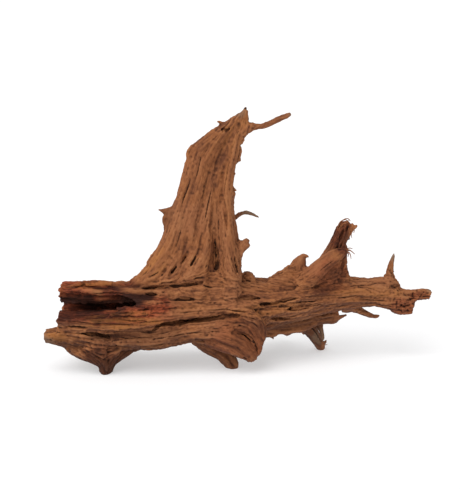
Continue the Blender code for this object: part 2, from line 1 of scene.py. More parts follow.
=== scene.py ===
# %% [markdown]
# A mangrove root as driftwood: one heavy trunk that lies down, a broad blade that stands up from
# it, and root ends that carry it. The solid model already has the true size and every limb. This
# lesson gives it the surface of the real thing: fibres that follow each limb, shrinkage cracks,
# rotten pits, torn ends, and the many browns of old wood.
#
# Blender counts in metres. The lists of places are in millimetres, which are easier to read, and
# `metres` turns them over.

# %% Start from the packed solid
import math

import bmesh
import bpy
import numpy as np
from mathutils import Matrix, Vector
from mathutils.bvhtree import BVHTree


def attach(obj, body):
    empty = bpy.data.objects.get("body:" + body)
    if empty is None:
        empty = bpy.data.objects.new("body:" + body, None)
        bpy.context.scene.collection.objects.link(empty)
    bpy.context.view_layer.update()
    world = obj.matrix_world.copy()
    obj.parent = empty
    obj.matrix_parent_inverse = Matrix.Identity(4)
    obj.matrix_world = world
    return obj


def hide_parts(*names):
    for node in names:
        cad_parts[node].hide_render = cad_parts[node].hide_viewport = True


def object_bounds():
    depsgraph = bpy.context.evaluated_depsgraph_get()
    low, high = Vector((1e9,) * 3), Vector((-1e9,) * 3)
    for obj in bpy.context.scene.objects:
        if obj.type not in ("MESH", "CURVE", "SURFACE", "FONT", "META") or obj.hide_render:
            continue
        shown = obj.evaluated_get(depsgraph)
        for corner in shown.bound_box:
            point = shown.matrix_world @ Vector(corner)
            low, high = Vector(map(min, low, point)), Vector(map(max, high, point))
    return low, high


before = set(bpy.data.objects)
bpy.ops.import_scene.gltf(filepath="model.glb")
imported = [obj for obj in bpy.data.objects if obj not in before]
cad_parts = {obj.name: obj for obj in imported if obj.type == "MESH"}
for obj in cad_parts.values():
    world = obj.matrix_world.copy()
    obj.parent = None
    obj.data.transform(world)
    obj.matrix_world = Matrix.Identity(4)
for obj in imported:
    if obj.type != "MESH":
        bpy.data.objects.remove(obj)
NODE = "mangrove_root"
CAD_BOX = [list(corner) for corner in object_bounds()]
SEED = 11
MM = 0.001


def metres(millimetres):
    """The same lengths in metres, as an array."""
    return np.array(millimetres, float) * MM


print("the solid's box", CAD_BOX)

# %% [markdown]
# The camera looks from the front and a little from above, with a long lens, as for a picture in a
# catalogue. Its aim and distance are real lengths, measured from the middle of the root's base.

# %% Camera
CAMERA_AIM = Vector((-0.0135, -0.039, 0.150))
CAMERA_DISTANCE = 1.575
CAMERA_RISE = math.radians(12)
LENS_MM = 100
SENSOR_MM = 36


def look_at(thing, spot):
    """Turns a camera or a light so that its -Z axis points at the spot."""
    thing.rotation_euler = (spot - thing.location).to_track_quat("-Z", "Y").to_euler()


camera = bpy.data.objects.new("camera", bpy.data.cameras.new("camera"))
camera.data.lens = LENS_MM
camera.data.sensor_width = SENSOR_MM
backward = Vector((0, -math.cos(CAMERA_RISE), math.sin(CAMERA_RISE)))
camera.location = CAMERA_AIM + CAMERA_DISTANCE * backward
look_at(camera, CAMERA_AIM)
bpy.context.scene.collection.objects.link(camera)
bpy.context.scene.camera = camera
print("camera at", tuple(round(c, 3) for c in camera.location))

# %% [markdown]
# The root stands on a plain pale floor in soft daylight. A wide sun from the upper left gives the
# form, and a bright, even sky fills the shadows. The floor glows a little of itself, as a light
# table does, so that the shadow on it stays pale. It runs far behind the root and needs no
# backdrop.

# %% Floor and light
FLOOR_SIZE = 60.0
FLOOR_COLOUR = (0.62, 0.62, 0.625, 1)
FLOOR_GLOW = 0.40
FLOOR_ROUGHNESS = 0.9
FLOOR_SHINE = 0.1
SUN_FROM = Vector((-0.50, -0.62, 0.95))
SUN_ENERGY = 2.3
SUN_WIDTH = math.radians(60)
SKY_STRENGTH = 0.55
WHITE = (1.0, 1.0, 1.0, 1)


def pale_floor():
    """A flat square at the height of the root's feet."""
    half = FLOOR_SIZE / 2
    mesh = bpy.data.meshes.new("floor")
    corners = [(-half, -half, 0), (half, -half, 0), (half, half, 0), (-half, half, 0)]
    mesh.from_pydata(corners, [], [(0, 1, 2, 3)])
    material = bpy.data.materials.new("pale_floor")
    material.use_nodes = True
    surface = material.node_tree.nodes["Principled BSDF"]
    surface.inputs["Base Color"].default_value = FLOOR_COLOUR
    surface.inputs["Roughness"].default_value = FLOOR_ROUGHNESS
    surface.inputs["Specular IOR Level"].default_value = FLOOR_SHINE
    surface.inputs["Emission Color"].default_value = WHITE
    surface.inputs["Emission Strength"].default_value = FLOOR_GLOW
    mesh.materials.append(material)
    floor = bpy.data.objects.new("floor", mesh)
    bpy.context.scene.collection.objects.link(floor)


def studio_light():
    """A sun with a wide disc, for one soft shadow, and an even white sky."""
    sun = bpy.data.objects.new("sun", bpy.data.lights.new("sun", "SUN"))
    sun.data.energy = SUN_ENERGY
    sun.data.angle = SUN_WIDTH
    sun.location = SUN_FROM
    look_at(sun, Vector((0, 0, 0)))
    bpy.context.scene.collection.objects.link(sun)
    sky = bpy.data.worlds.new("sky")
    sky.use_nodes = True
    sky.node_tree.nodes["Background"].inputs["Color"].default_value = WHITE
    sky.node_tree.nodes["Background"].inputs["Strength"].default_value = SKY_STRENGTH
    bpy.context.scene.world = sky
    bpy.context.scene.view_settings.view_transform = "Standard"


pale_floor()
studio_light()
print("floor and light are set")

# %% [markdown]
# Old wood carries thorns, hooks and torn strips, and each is a tapered tube: a circle carried
# along a curve, with a radius that changes on its way. The curve passes through a few points. A
# Catmull-Rom curve does that with no handles to set, and it is worked out as whole arrays.

# %% A tapered tube along a curve
THINNEST = 0.00005


def through(line, step):
    """A Catmull-Rom curve through the line's points, with a point about every step.

    Between p1 and p2: half of 2 p1 + (p2 - p0) t + (2 p0 - 5 p1 + 4 p2 - p3) t^2
    + (3 p1 - p0 - 3 p2 + p3) t^3, where p0 and p3 are the points before and after.
    """
    knots = np.array(line, float)
    knots = np.vstack([2 * knots[0] - knots[1], knots, 2 * knots[-1] - knots[-2]])
    rows = []
    for p0, p1, p2, p3 in zip(knots, knots[1:], knots[2:], knots[3:]):
        count = max(2, round(np.linalg.norm((p2 - p1)[:3]) / step))
        t = (np.arange(count) / count)[:, None]
        cubic = (3 * p1 - p0 - 3 * p2 + p3) * t**3 + (2 * p0 - 5 * p1 + 4 * p2 - p3) * t**2
        rows.append(0.5 * (2 * p1 + (p2 - p0) * t + cubic))
    return np.vstack(rows + [knots[-2][None]])


def tube(curve, sides):
    """Points and faces of a closed tube: centre + radius (cos(a) side + sin(a) upward).

    The curve's rows are x, y, z and the radius. The side stands square to the curve and to the
    axis that the curve follows least, and both ends close in a pole.
    """
    centres, radii = curve[:, :3], np.maximum(curve[:, 3:], THINNEST)
    ahead = np.gradient(centres, axis=0)
    ahead /= np.linalg.norm(ahead, axis=1)[:, None]
    least = np.eye(3)[np.abs(ahead).mean(0).argmin()]
    side = np.cross(ahead, least)
    side /= np.linalg.norm(side, axis=1)[:, None]
    upward = np.cross(ahead, side)
    a = 2 * np.pi * np.arange(sides) / sides
    ring = np.cos(a)[:, None] * side[:, None] + np.sin(a)[:, None] * upward[:, None]
    spots = (centres[:, None] + radii[:, None] * ring).reshape(-1, 3)
    row = np.arange(len(centres) - 1)[:, None] * sides
    j, k = np.arange(sides)[None], (np.arange(sides)[None] + 1) % sides
    quads = np.stack([row + j, row + k, row + sides + k, row + sides + j], -1).reshape(-1, 4)
    first, last = len(spots), len(spots) + 1
    top = (len(centres) - 1) * sides
    caps = [(first, int(k[0, n]), int(j[0, n])) for n in range(sides)]
    caps += [(last, int(top + j[0, n]), int(top + k[0, n])) for n in range(sides)]
    return np.vstack([spots, centres[:1], centres[-1:]]), quads.tolist() + caps


def tubes_mesh(name, curves, sides):
    """One mesh that holds a tube for each curve."""
    spots, faces, count = [], [], 0
    for curve in curves:
        some, their_faces = tube(curve, sides)
        faces += [tuple(corner + count for corner in face) for face in their_faces]
        spots.append(some)
        count += len(some)
    mesh = bpy.data.meshes.new(name)
    mesh.from_pydata(np.vstack(spots).tolist(), [], faces)
    return mesh


print("a tube closes in a pole at each end and is never thinner than", THINNEST, "m")

# %% [markdown]
# Weather leaves thorns, hooks and torn strips wherever a root or a layer of wood broke off. They
# are too thin and too many for the solid. They could be sculpted one by one. As tubes of four
# numbers a point, they stay easy to move, and each is rooted deep in the wood that carries it.

# %% The thorns, hooks and torn strips
# Each is a list of points: x, y, z and the radius there, in millimetres.
TORN = {
    "top_thorn": [(-2, -32, 289, 3), (-12, -32, 288, 4), (-20, -31, 289, 3), (-25, -31, 291, 1.6),
        (-29, -31, 293, 0.6)],
    "shoulder_corner": [(-50, -28, 262, 4), (-57, -28, 262, 3), (-61, -28, 258, 1.8)],
    "shoulder_edge": [(-56, -28, 262, 4), (-62, -27, 256, 2.4), (-63, -27, 251, 1.2)],
    "left_thorn_tip": [(-70, -25, 190, 8), (-82, -25, 187, 5.4), (-90, -25, 187, 3),
        (-97, -25, 188.5, 0.6)],
    "left_thorn_foot": [(-72, -25, 178, 8), (-84, -25, 180, 5.6), (-90, -25, 178, 3.4),
        (-89, -25, 170, 2.2)],
    "right_lump": [(-4, -30, 276, 5), (0, -31, 274, 3.4), (2, -32, 272, 2.2)],
    "right_lump_under": [(-8, -29, 264, 4.5), (-4, -30, 259, 5), (-6, -30, 251, 4.2),
        (-11, -30, 243, 2.6)],
    "right_corner": [(-14, -29, 232, 5), (-10, -30, 232, 3), (-7, -31, 231, 1)],
    "right_hook": [(-14, -29, 216, 5), (-10, -30, 213, 3.2), (-6.5, -31, 212, 1)],
    "side_stub_end": [(-5, -29, 146, 6), (3, -31, 150, 4.6), (8.5, -32, 154, 3.2)],
    "side_stub_web": [(-12, -28, 118, 5), (-7, -28, 130, 6), (-3, -29, 140, 6)],
    "side_twig_bark": [(-14, -13, 172, 2.6), (-8, -9, 176, 2.4), (0, -5, 180.5, 2.5),
        (7, -3, 181, 2.4), (14, -2, 178.5, 1.7), (21, -1, 174.5, 0.7)],
    "stub_slope": [(40, -10, 100, 6), (52, -11, 107, 6.5), (62, -10, 115, 6), (70, -9, 123, 4)],
    "fork_web": [(78, -11, 95, 8), (92, -12, 104, 8), (106, -9, 114, 7), (115, -5, 124, 5)],
    "fork_web_low": [(92, -8, 92, 8), (106, -7, 102, 7.5), (116, -3, 113, 6)],
    "stub_hook": [(68, -9, 124, 4.5), (72, -9, 128.5, 3.4), (76, -10, 130.4, 1.9),
        (80, -10, 128.4, 0.6)],
    "crown_lump": [(124, 11, 156, 4), (129, 11, 161, 3.6), (134, 11, 163.5, 2.6)],
    "crown_tip": [(128, 11, 158, 3), (134, 10, 160, 2.4), (138, 9, 163, 1.4)],
    "crown_rim": [(116, 12, 156, 2.2), (119, 12, 163, 1.9), (123, 12, 168, 1.2)],
    "fork_front_end": [(118, -7, 133, 3), (124, -4, 136, 2.4), (129, -2, 135, 1)],
    "top_tip": [(1, -31, 294, 3.4), (3.5, -31, 302, 2.4), (4.5, -31, 310, 0.7)],
    "twig_knee": [(12, -33, 286, 3.2), (24, -34, 287.5, 3.4), (34, -37, 292.5, 2.6)],
    "twig_knot": [(26, -34, 286, 1), (27, -34, 289.5, 2.6), (28, -34, 292.5, 1)],
    "twig_bud": [(43, -39, 293, 1), (45, -39, 297.5, 2.6), (45.5, -39, 301.5, 0.8)],
    "twig_tip": [(40, -38, 295, 2.6), (48, -40, 299, 3.2), (55.5, -42, 302, 2.4)],
    "upper_end_top": [(192, 13, 79, 4.6), (208, 15, 79, 3.8), (222, 19, 79.5, 3),
        (231, 21, 79.5, 1.8)],
    "upper_end_low": [(200, 9, 72, 4.4), (211, 12, 73, 3.4), (219, 15, 72, 2.2)],
    "upper_end_crumb": [(219, 16, 79, 3.6), (226, 19, 76, 3), (229, 20, 72, 1.6)],
    "porous_crumb": [(192, 2, 62, 6), (200, 4, 59, 4.4), (205, 6, 56, 2.4)],
    "porous_top": [(190, 2, 72, 6), (201, 5, 71, 4.6), (208, 7, 68, 2.2)],
    "skirt_tooth": [(108, 8, 53, 4), (118, 10, 50, 2.6), (127, 11, 52, 0.9)],
    "skirt_tooth_left": [(30, -3, 38, 4), (37, -3, 30, 2.6), (39, -3, 25.5, 0.8)],
    "skirt_tooth_middle": [(58, 2, 38, 4), (54, 2, 31, 2.4), (52, 2, 27, 0.8)],
    "skirt_tooth_low": [(66, 4, 40, 3.6), (73, 4, 33, 2.2), (76, 4, 29, 0.8)],
    "knuckle_fold": [(-12, -55, 52.5, 3.2), (-4, -54, 52.5, 4), (4, -54, 50.5, 4.2),
        (11, -54, 45.5, 4.2), (16, -55, 38.5, 3.8), (18, -55, 31, 2.8)],
    "toe_side": [(-118, -52, 38, 6), (-134, -54, 26, 6), (-146, -54, 14, 5)],
    "toe_ridge_tooth": [(-110, -58, 38, 4), (-121, -60, 31, 3), (-126, -60, 27, 1.2)],
    "belly_tooth": [(-84, -54, 38, 4), (-92, -55, 33, 2.2), (-97, -55, 30, 0.9)],
    "belly_tooth_left": [(-196, -58, 40, 4), (-200, -59, 33, 2.6), (-203, -59, 29, 1)],
    "lip_point": [(-214, -54, 44, 6), (-222, -56, 41, 4.4), (-228, -57, 39, 2)],
    "upper_lip_strip": [(-150, -47, 105, 3), (-172, -50, 107, 2.8), (-194, -52, 107, 1.4)],
    "heart_splinter": [(-112, -64, 79, 4.4), (-128, -66, 78, 2.8), (-143, -65, 81, 0.8)],
    "heart_splinter_low": [(-108, -66, 73, 4), (-126, -68, 73, 2.6), (-146, -67, 75, 0.7)],
    "foot_hook": [(-14, -38, 10, 3), (-9, -40, 5, 2.2), (-5, -40, 4.5, 0.9)],
    "thorn_knob": [(183, 12, 92, 5), (188, 12, 90, 3.4), (191, 12, 87, 2)],
    "back_foot_hook": [(98, 30, 14, 1.4), (103, 32, 12, 1.2), (106, 33, 15, 0.7)],
}
TORN_STEP = 0.002
TORN_SIDES = 12
thorns = [through(metres(line), TORN_STEP) for line in TORN.values()]
print(len(TORN), "thorns and torn strips")

# %% [markdown]
# The solid is a mesh of about eleven thousand triangles, too coarse for fibres. A copy of it is
# merged with the thorns and remeshed with a voxel of about a millimetre, so that all is one skin.
# Subdivision would give small faces too, but it would leave each thorn a separate shell.

# %% A fine skin over the solid
SKIN_VOXEL = 0.00095
SAME_PLACE = 0.00001


def read(mesh, what, name, width=3):
    """The values of a layer as an array with one row for each vertex."""
    values = np.zeros(len(getattr(mesh, what)) * width, np.float32)
    getattr(mesh, what).foreach_get(name, values)
    return values.reshape(-1, width).astype(float)


def bake(piece):
    """Puts the result of the piece's modifiers into its mesh."""
    depsgraph = bpy.context.evaluated_depsgraph_get()
    finished = bpy.data.meshes.new_from_object(piece.evaluated_get(depsgraph))
    piece.modifiers.clear()
    old = piece.data
    piece.data = finished
    bpy.data.meshes.remove(old)


def fine_skin():
    """A merged, remeshed copy of the solid's mesh with the thorns."""
    merged = bmesh.new()
    merged.from_mesh(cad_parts[NODE].data)
    bmesh.ops.remove_doubles(merged, verts=merged.verts, dist=SAME_PLACE)
    thorn_mesh = tubes_mesh("thorns", thorns, TORN_SIDES)
    merged.from_mesh(thorn_mesh)
    bpy.data.meshes.remove(thorn_mesh)
    mesh = bpy.data.meshes.new("root_wood")
    merged.to_mesh(mesh)
    merged.free()
    piece = bpy.data.objects.new("root_wood", mesh)
    bpy.context.scene.collection.objects.link(piece)
    remesh = piece.modifiers.new("skin", "REMESH")
    remesh.mode = "VOXEL"
    remesh.voxel_size = SKIN_VOXEL
    bake(piece)
    return piece


wood = fine_skin()
points = read(wood.data, "vertices", "co")
print("skin of", len(points), "points")

# %% [markdown]
# The solid's flat facets still show in the new skin, and real wood has none. A Smooth modifier
# would round them away, but it would thin the twigs too. Here each pass of shrinking is followed
# by one of swelling, so that the twigs keep their thickness.

# %% Smooth the skin
SMOOTHING_PASSES = 12
SHRINK, SWELL = 0.55, -0.57
pairs = np.zeros(len(wood.data.edges) * 2, np.int32)
wood.data.edges.foreach_get("vertices", pairs)
pairs = pairs.reshape(-1, 2)
neighbours = np.bincount(pairs.ravel(), minlength=len(points)).astype(float)


def averaged(values):
    """Each vertex takes the mean of the vertices that share an edge with it."""
    total = np.empty_like(values)
    for column in range(values.shape[1]):
        value = values[:, column]
        total[:, column] = np.bincount(pairs[:, 0], value[pairs[:, 1]], len(values))
        total[:, column] += np.bincount(pairs[:, 1], value[pairs[:, 0]], len(values))
    return total / neighbours[:, None]


def smoothed(values, passes):
    """Spreads values over the skin, about the square root of passes vertices far."""
    for _ in range(passes):
        values = 0.5 * values + 0.5 * averaged(values)
    return values


for _ in range(SMOOTHING_PASSES):
    for share in (SHRINK, SWELL):
        points = points + share * (averaged(points) - points)
print("mean of", neighbours.mean().round(2), "neighbours a point")

# %% [markdown]
# In a few places the outline wants a small push: the fork's crown sits lower, the skirt is
# shorter, and the knuckle and the toe are narrower. A sculptor takes the grab brush for that.
# Here each pull moves the skin by its full way in the middle and by nothing at its rim.

# %% Small pulls of the skin
# Each is the middle (x, y, z), the radius, and the move (x, y, z), in millimetres.
PULLS = [
    (118, 12, 168, 10, 2, 0, -7), (46, -1, 30, 9, 0, 0, 4.5), (64, 3, 31, 7, 0, 0, 3.5),
    (-198, -56, 107, 12, 0, 0, -3), (28, -48, 28, 19, -7, 0, 2), (24, -52, 13, 14, -5, 0, 2),
    (-172, -58, 6, 16, 5, 0, 0), (-144, -58, 6, 16, -5, 0, 0), (-168, -58, 22, 14, -3, 0, 0),
]
for pull in metres(PULLS):
    middle, radius, move = pull[:3], pull[3], pull[4:]
    away = ((points - middle) ** 2).sum(1)[:, None] / radius**2
    points = points + np.clip(1 - away, 0, 1) ** 2 * move
wood.data.vertices.foreach_set("co", points.astype(np.float32).ravel())
wood.data.update()
normals = read(wood.data, "vertex_normals", "vector")
print(len(PULLS), "pulls")

# %% [markdown]
# Wood is a bundle of fibres, and everything on an old root follows them: ridges, cracks, streaks
# of colour and the frayed ends. So the first thing to settle is which way the fibres run at every
# point. Each limb gets a line along which its fibres run. The blade has three, because its fibres
# fan out at its foot and turn into the trunk on both sides.

# %% The lines that the fibres follow
# Each has the reach of its influence, then its points (x, y, z), in millimetres.
GRAIN_LINES = {
    "trunk": (34, (-245, -39, 62), (-212, -39, 67.5), (-160, -37, 64.5), (-101, -29, 64),
        (-37, -19, 69), (29, -9, 72), (89, 0, 79), (156, 11, 80), (240, 20, 75)),
    "shoulder": (17, (-160, -50, 98), (-100, -50, 96), (-40, -48, 93), (10, -43, 90),
        (60, -32, 86), (110, -16, 84)),
    "lower_strand": (14, (-235, -51, 43), (-170, -47, 45), (-106, -48, 41), (-60, -46, 49.5),
        (-14, -42, 57), (10, -37, 60)),
    "toe_left": (15, (-235, -51, 43), (-200, -52, 31), (-172, -53, 16), (-158, -53, -4)),
    "toe_right": (14, (-96, -47, 40), (-126, -49, 31), (-149, -52, 16), (-158, -53, -4)),
    "middle_foot": (13, (-85, -32, 50), (-51, -27, 40), (-33.5, -27, 25), (-15.5, -31, 9),
        (-9.5, -32, -4)),
    "tongue": (15, (-100, -40, 52), (-60, -37, 52), (-31.5, -45, 44), (-6.5, -52, 35),
        (8.5, -55, 25), (14.5, -55, 12)),
    "curl": (16, (-50, -33, 68), (-9.5, -31, 69), (11.5, -39, 57), (20.5, -44, 43),
        (23.5, -47, 30), (20.5, -47, 12)),
    "back_foot": (10, (50, 6, 56), (72.5, 17, 43), (84.5, 27, 29), (92.5, 36, 15),
        (101.5, 47, -4)),
    "rear_foot": (14, (-148, -34, 66), (-158.5, -3, 47), (-162.5, 14, 33), (-161.5, 22, 19),
        (-154.5, 30, -4)),
    "rear_stub": (17, (-65, -16, 66), (-31.5, -5, 72), (-36.5, 17, 82), (-40.5, 32, 90),
        (-41.5, 49, 101), (-38.5, 60, 119)),
    "rear_root": (13, (-20, -12, 67), (16.5, -1, 64), (28.5, 23, 54), (39.5, 44, 43),
        (46.5, 61, 32), (48.5, 75, 10)),
    "skirt": (13, (-10, -8, 52), (34.5, -1, 43), (73.5, 7, 45), (120, 11, 54)),
    "curved_root": (7, (90, 8, 68), (123.5, 15, 64), (140.5, 18, 57), (153.5, 21, 50),
        (172.5, 23, 49)),
    "hanging_rootlet": (4, (88, 16, 54), (96.5, 21, 35), (99.5, 22, 24), (100.5, 23, 14)),
    "thorn": (7, (155, 10, 83), (175.5, 13, 90), (178.5, 13, 99), (179.5, 13, 113),
        (183.5, 13, 132)),
    "fork_back": (12, (55, -4, 84), (90.5, 5, 94), (101.5, 9, 117), (111.5, 11, 136),
        (118.5, 13, 148), (124.5, 15, 169)),
    "fork_front": (11, (30, -15, 86), (67.5, -15, 96), (84.5, -18, 110), (99.5, -15, 123),
        (113.5, -9, 131), (124.5, -4, 136)),
    "fork_side": (10, (160, 10, 82), (128, 6, 88), (116.5, 3, 107), (119.5, 5, 124),
        (121.5, 7, 140)),
    "fork_crown": (5, (125.5, 13, 153), (131.5, 12, 159), (137, 11, 163)),
    "stub": (11, (30, -9, 86), (63.5, -7, 95), (67.5, -7, 111), (68.5, -7, 121), (70.5, -8, 130)),
    "blade_left": (24, (-172, -28, 100), (-118, -26, 113), (-91, -26, 146), (-76, -26, 191),
        (-62, -27, 232), (-53, -27, 262), (-23, -29, 286)),
    "blade_middle": (24, (-132, -27, 96), (-89, -26, 108), (-64, -26, 134), (-51, -26, 179),
        (-39, -27, 226), (-23, -28, 268), (-2, -31, 307)),
    "blade_right": (20, (70, -14, 94), (24, -18, 102), (-2, -26, 120), (-10, -29, 149),
        (-15, -29, 191), (-13.5, -29, 232), (-4, -30, 268), (4.5, -32, 306)),
    "left_thorn": (8, (-58, -24, 168), (-74.5, -24, 181), (-94.5, -24, 188)),
    "side_stub": (9, (-25, -25, 108), (-15.5, -27, 129), (-5.5, -29, 140), (8.5, -32, 152)),
    "side_twig": (3, (-20.5, -17, 170), (-8.5, -9, 175), (5.5, -3, 180), (12.5, -2, 178),
        (19.5, -1, 175)),
    "top_twig": (6, (-4.5, -30, 279), (10.5, -32, 286), (23.5, -34, 287), (34.5, -37, 292),
        (55.5, -42, 302)),
}
print(len(GRAIN_LINES), "lines for the fibres")

# %% [markdown]
# Fibres run along the nearest line, but they part around a knot as water parts around a pile. Such
# swirls could be drawn one by one. The formula for a flow past a pile gives them all, from each
# knot's middle and radius.

# %% Knots, and the nearest line
# Each knot is its middle (x, y, z) and its radius, in millimetres.
KNOTS = [
    (-122, -68, 74, 4.5), (166, 0, 90, 7), (122, -4, 95, 4.5), (-176, -60, 48, 5),
    (-50, -46, 100, 5), (60, -30, 80, 4.5), (-60, 4, 190, 6), (-150, 0, 80, 8), (70, 26, 80, 6),
]
KNOT_REACH = 4
KNOT_LENGTHENED = 0.4
NO_LENGTH = 1e-9


def nearest_on(line, places):
    """For each place, its distance to the line and the line's direction there."""
    starts, runs = line[:-1], np.diff(line, axis=0)
    lengths = np.maximum(np.linalg.norm(runs, axis=1), NO_LENGTH)
    across = places @ runs.T - (starts * runs).sum(1)
    t = np.clip(across / lengths**2, 0, 1)
    square = (places**2).sum(1)[:, None] - 2 * places @ starts.T + (starts**2).sum(1)
    square = square - 2 * t * across + (t * lengths) ** 2
    which = square.argmin(1)
    distance = np.sqrt(np.maximum(square[np.arange(len(places)), which], 0))
    return distance, (runs / lengths[:, None])[which]


def one_long(arrows):
    """The same arrows, each made one long."""
    return arrows / (np.linalg.norm(arrows, axis=1)[:, None] + NO_LENGTH)


def around_knots(places, direction):
    """Turns the directions as a flow past a cylinder: v = t + (r/d)^2 (t - 2 (t.n) n)."""
    for *middle, radius in metres(KNOTS):
        away = places - np.array(middle)
        near = np.flatnonzero((away**2).sum(1) < (KNOT_REACH * radius) ** 2)
        t, away = direction[near], away[near]
        away -= KNOT_LENGTHENED * (away * t).sum(1)[:, None] * t
        distance = np.maximum(np.linalg.norm(away, axis=1), radius)[:, None]
        outward = away / distance
        facing = (t * outward).sum(1)[:, None]
        direction[near] = one_long(t + (radius / distance) ** 2 * (t - 2 * facing * outward))
    return direction


print(len(KNOTS), "knots")

# %% [markdown]
# Between the lines, the direction is a blend. Two neighbouring limbs may run opposite ways, and
# their arrows would cancel, though their fibres lie side by side. So the blend is of each arrow's
# outer product with itself, which is the same for both ways. It could be worked out at every
# point and every step of a walk. Worked out once on a coarse grid, it takes seconds instead of
# minutes.

# %% The blend on a grid
GRID_STEP = 0.005
GRID_MARGIN = 0.015
LINE_STEP = 0.008
BLEND_CORE = 0.1
BLEND_POWER = 3
fibre_lines = [(metres(reach), through(metres(line), LINE_STEP))
               for reach, *line in GRAIN_LINES.values()]


def blended_lines(places):
    """At each place, the mean of x^2, y^2, z^2, xy, yz, zx and the reach over the lines.

    A line's weight is 1 / (core + (distance / reach)^2)^3.
    """
    values = np.zeros((len(places), 7))
    total = np.zeros(len(places))
    for reach, line in fibre_lines:
        distance, t = nearest_on(line, places)
        t = around_knots(places, t)
        weight = 1 / (BLEND_CORE + (distance / reach) ** 2) ** BLEND_POWER
        outer = [t[:, 0] ** 2, t[:, 1] ** 2, t[:, 2] ** 2]
        outer += [t[:, 0] * t[:, 1], t[:, 1] * t[:, 2], t[:, 2] * t[:, 0]]
        values[:, :6] += weight[:, None] * np.stack(outer, 1)
        values[:, 6] += weight * reach
        total += weight
    return values / total[:, None]


def fibre_grid():
    """The blend at every corner of the grid, worked out slab by slab."""
    low = np.array(CAD_BOX[0]) - GRID_MARGIN
    high = np.array(CAD_BOX[1]) + GRID_MARGIN
    sides = [np.arange(low[k], high[k] + GRID_STEP, GRID_STEP) for k in range(3)]
    slabs = []
    for x in sides[0]:
        places = np.stack(np.meshgrid([x], sides[1], sides[2], indexing="ij"), -1)
        slabs.append(blended_lines(places.reshape(-1, 3)))
    shape = tuple(len(side) for side in sides)
    return low, np.concatenate(slabs).reshape(*shape, 7).astype(np.float32)


grid_low, grid = fibre_grid()
print("fibre grid", grid.shape)

# %% [markdown]
# Any place can now read the blend from the eight corners of its cube. The blend is a matrix, and
# the fibre's direction is the one that the matrix stretches most. It could be solved for. But a
# heading that is multiplied by the matrix again and again turns to it by itself, and it keeps
# its way round, which a walk along the fibre needs.

# %% Which way the fibres run at every point
INSIDE_LAST_CUBE = 1.001
FIRST_GUESS = (0.8, 0.1, 0.6)
GUESS_ROUNDS = 6
grid_top = (np.array(grid.shape[:3]) - INSIDE_LAST_CUBE).astype(np.float32)
grid_strides = np.array([grid.shape[1] * grid.shape[2], grid.shape[2], 1])
flat_grid = grid.reshape(-1, 7)


def eight_corners(low_index, t, flat, strides):
    """Values blended from the eight corners of a cube: x first, then y, then z."""
    start = low_index @ strides
    blend = []
    for j, k in ((0, 0), (1, 0), (0, 1), (1, 1)):
        first = start + j * strides[1] + k * strides[2]
        near, far = flat.take(first, axis=0), flat.take(first + strides[0], axis=0)
        blend.append(near + (far - near) * t[0])
    low = blend[0] + (blend[1] - blend[0]) * t[1]
    high = blend[2] + (blend[3] - blend[2]) * t[1]
    return low + (high - low) * t[2]


def from_grid(places):
    """The grid's values at any place, blended from the eight corners of its cube."""
    spot = np.clip((places - grid_low) / GRID_STEP, 0, grid_top).astype(np.float32)
    cell = spot.astype(int)
    t = (spot - cell).T[:, :, None]
    return eight_corners(cell, t, flat_grid, grid_strides)


def turned_to_grain(heading, outer):
    """Pulls a heading to the grain: the blend times the heading, twice, made one long."""
    x, y, z, xy, yz, zx = (outer[:, k] for k in range(6))
    for _ in range(2):
        a, b, c = heading.T
        heading = one_long(np.stack([x * a + xy * b + zx * c, xy * a + y * b + yz * c,
                                     zx * a + yz * b + z * c], 1))
    return heading


at_skin = from_grid(points)
grain = np.tile(FIRST_GUESS, (len(points), 1))
for _ in range(GUESS_ROUNDS):
    grain = turned_to_grain(grain, at_skin)
reach_here = at_skin[:, 6].astype(float)
print("mean grain direction", np.abs(grain).mean(0).round(2))

# %% [markdown]
# Fibres are a noise that is long one way and thin the other two. Stretching a noise works only
# for straight wood. Here each point walks along its fibre both ways, a few centimetres, and takes
# the mean of a plain noise on its way. Points on one fibre walk the same way, so they get nearly
# the same value, and the next fibre gets another one. Four are made at once: bundles as wide as
# a finger's edge, short strands, thin long splits, and single short fibres.

# %% Noise along the fibres
WALK_STEP = 0.0034
# Each width of noise, how far it is averaged each way, and the looks taken in each step. A fine
# noise needs several looks in a step, because looks further apart than its cells miss the fibre.
FIBRE_WIDTHS = (0.0080, 0.0042, 0.0026, 0.0019)
FIBRE_LENGTHS = (0.058, 0.038, 0.058, 0.020)
LOOKS = (1, 1, 2, 3)
LATTICE = 64
random = np.random.default_rng(SEED)
lattices = random.standard_normal((len(FIBRE_WIDTHS) + 3, LATTICE, LATTICE, LATTICE))
# One more layer on each side repeats the first, so that a cube at the end finds its corners.
lattices = np.pad(lattices, ((0, 0), (0, 1), (0, 1), (0, 1)), "wrap").astype(np.float32)
lattices = lattices.reshape(len(lattices), -1)
lattice_strides = np.array([(LATTICE + 1) ** 2, LATTICE + 1, 1])


def lattice_noise(which, places, width):
    """Random numbers on a lattice with cells of that width, blended smoothly in between."""
    spot = (places / width).astype(np.float32)
    cell = np.floor(spot)
    t = (spot - cell).T
    t = t * t * (3 - 2 * t)
    cell = cell.astype(int) & (LATTICE - 1)
    return eight_corners(cell, t, lattices[which], lattice_strides)


def even(values):
    """Shifts and scales values to a mean of 0 and a spread of 1."""
    return (values - values.mean()) / values.std()


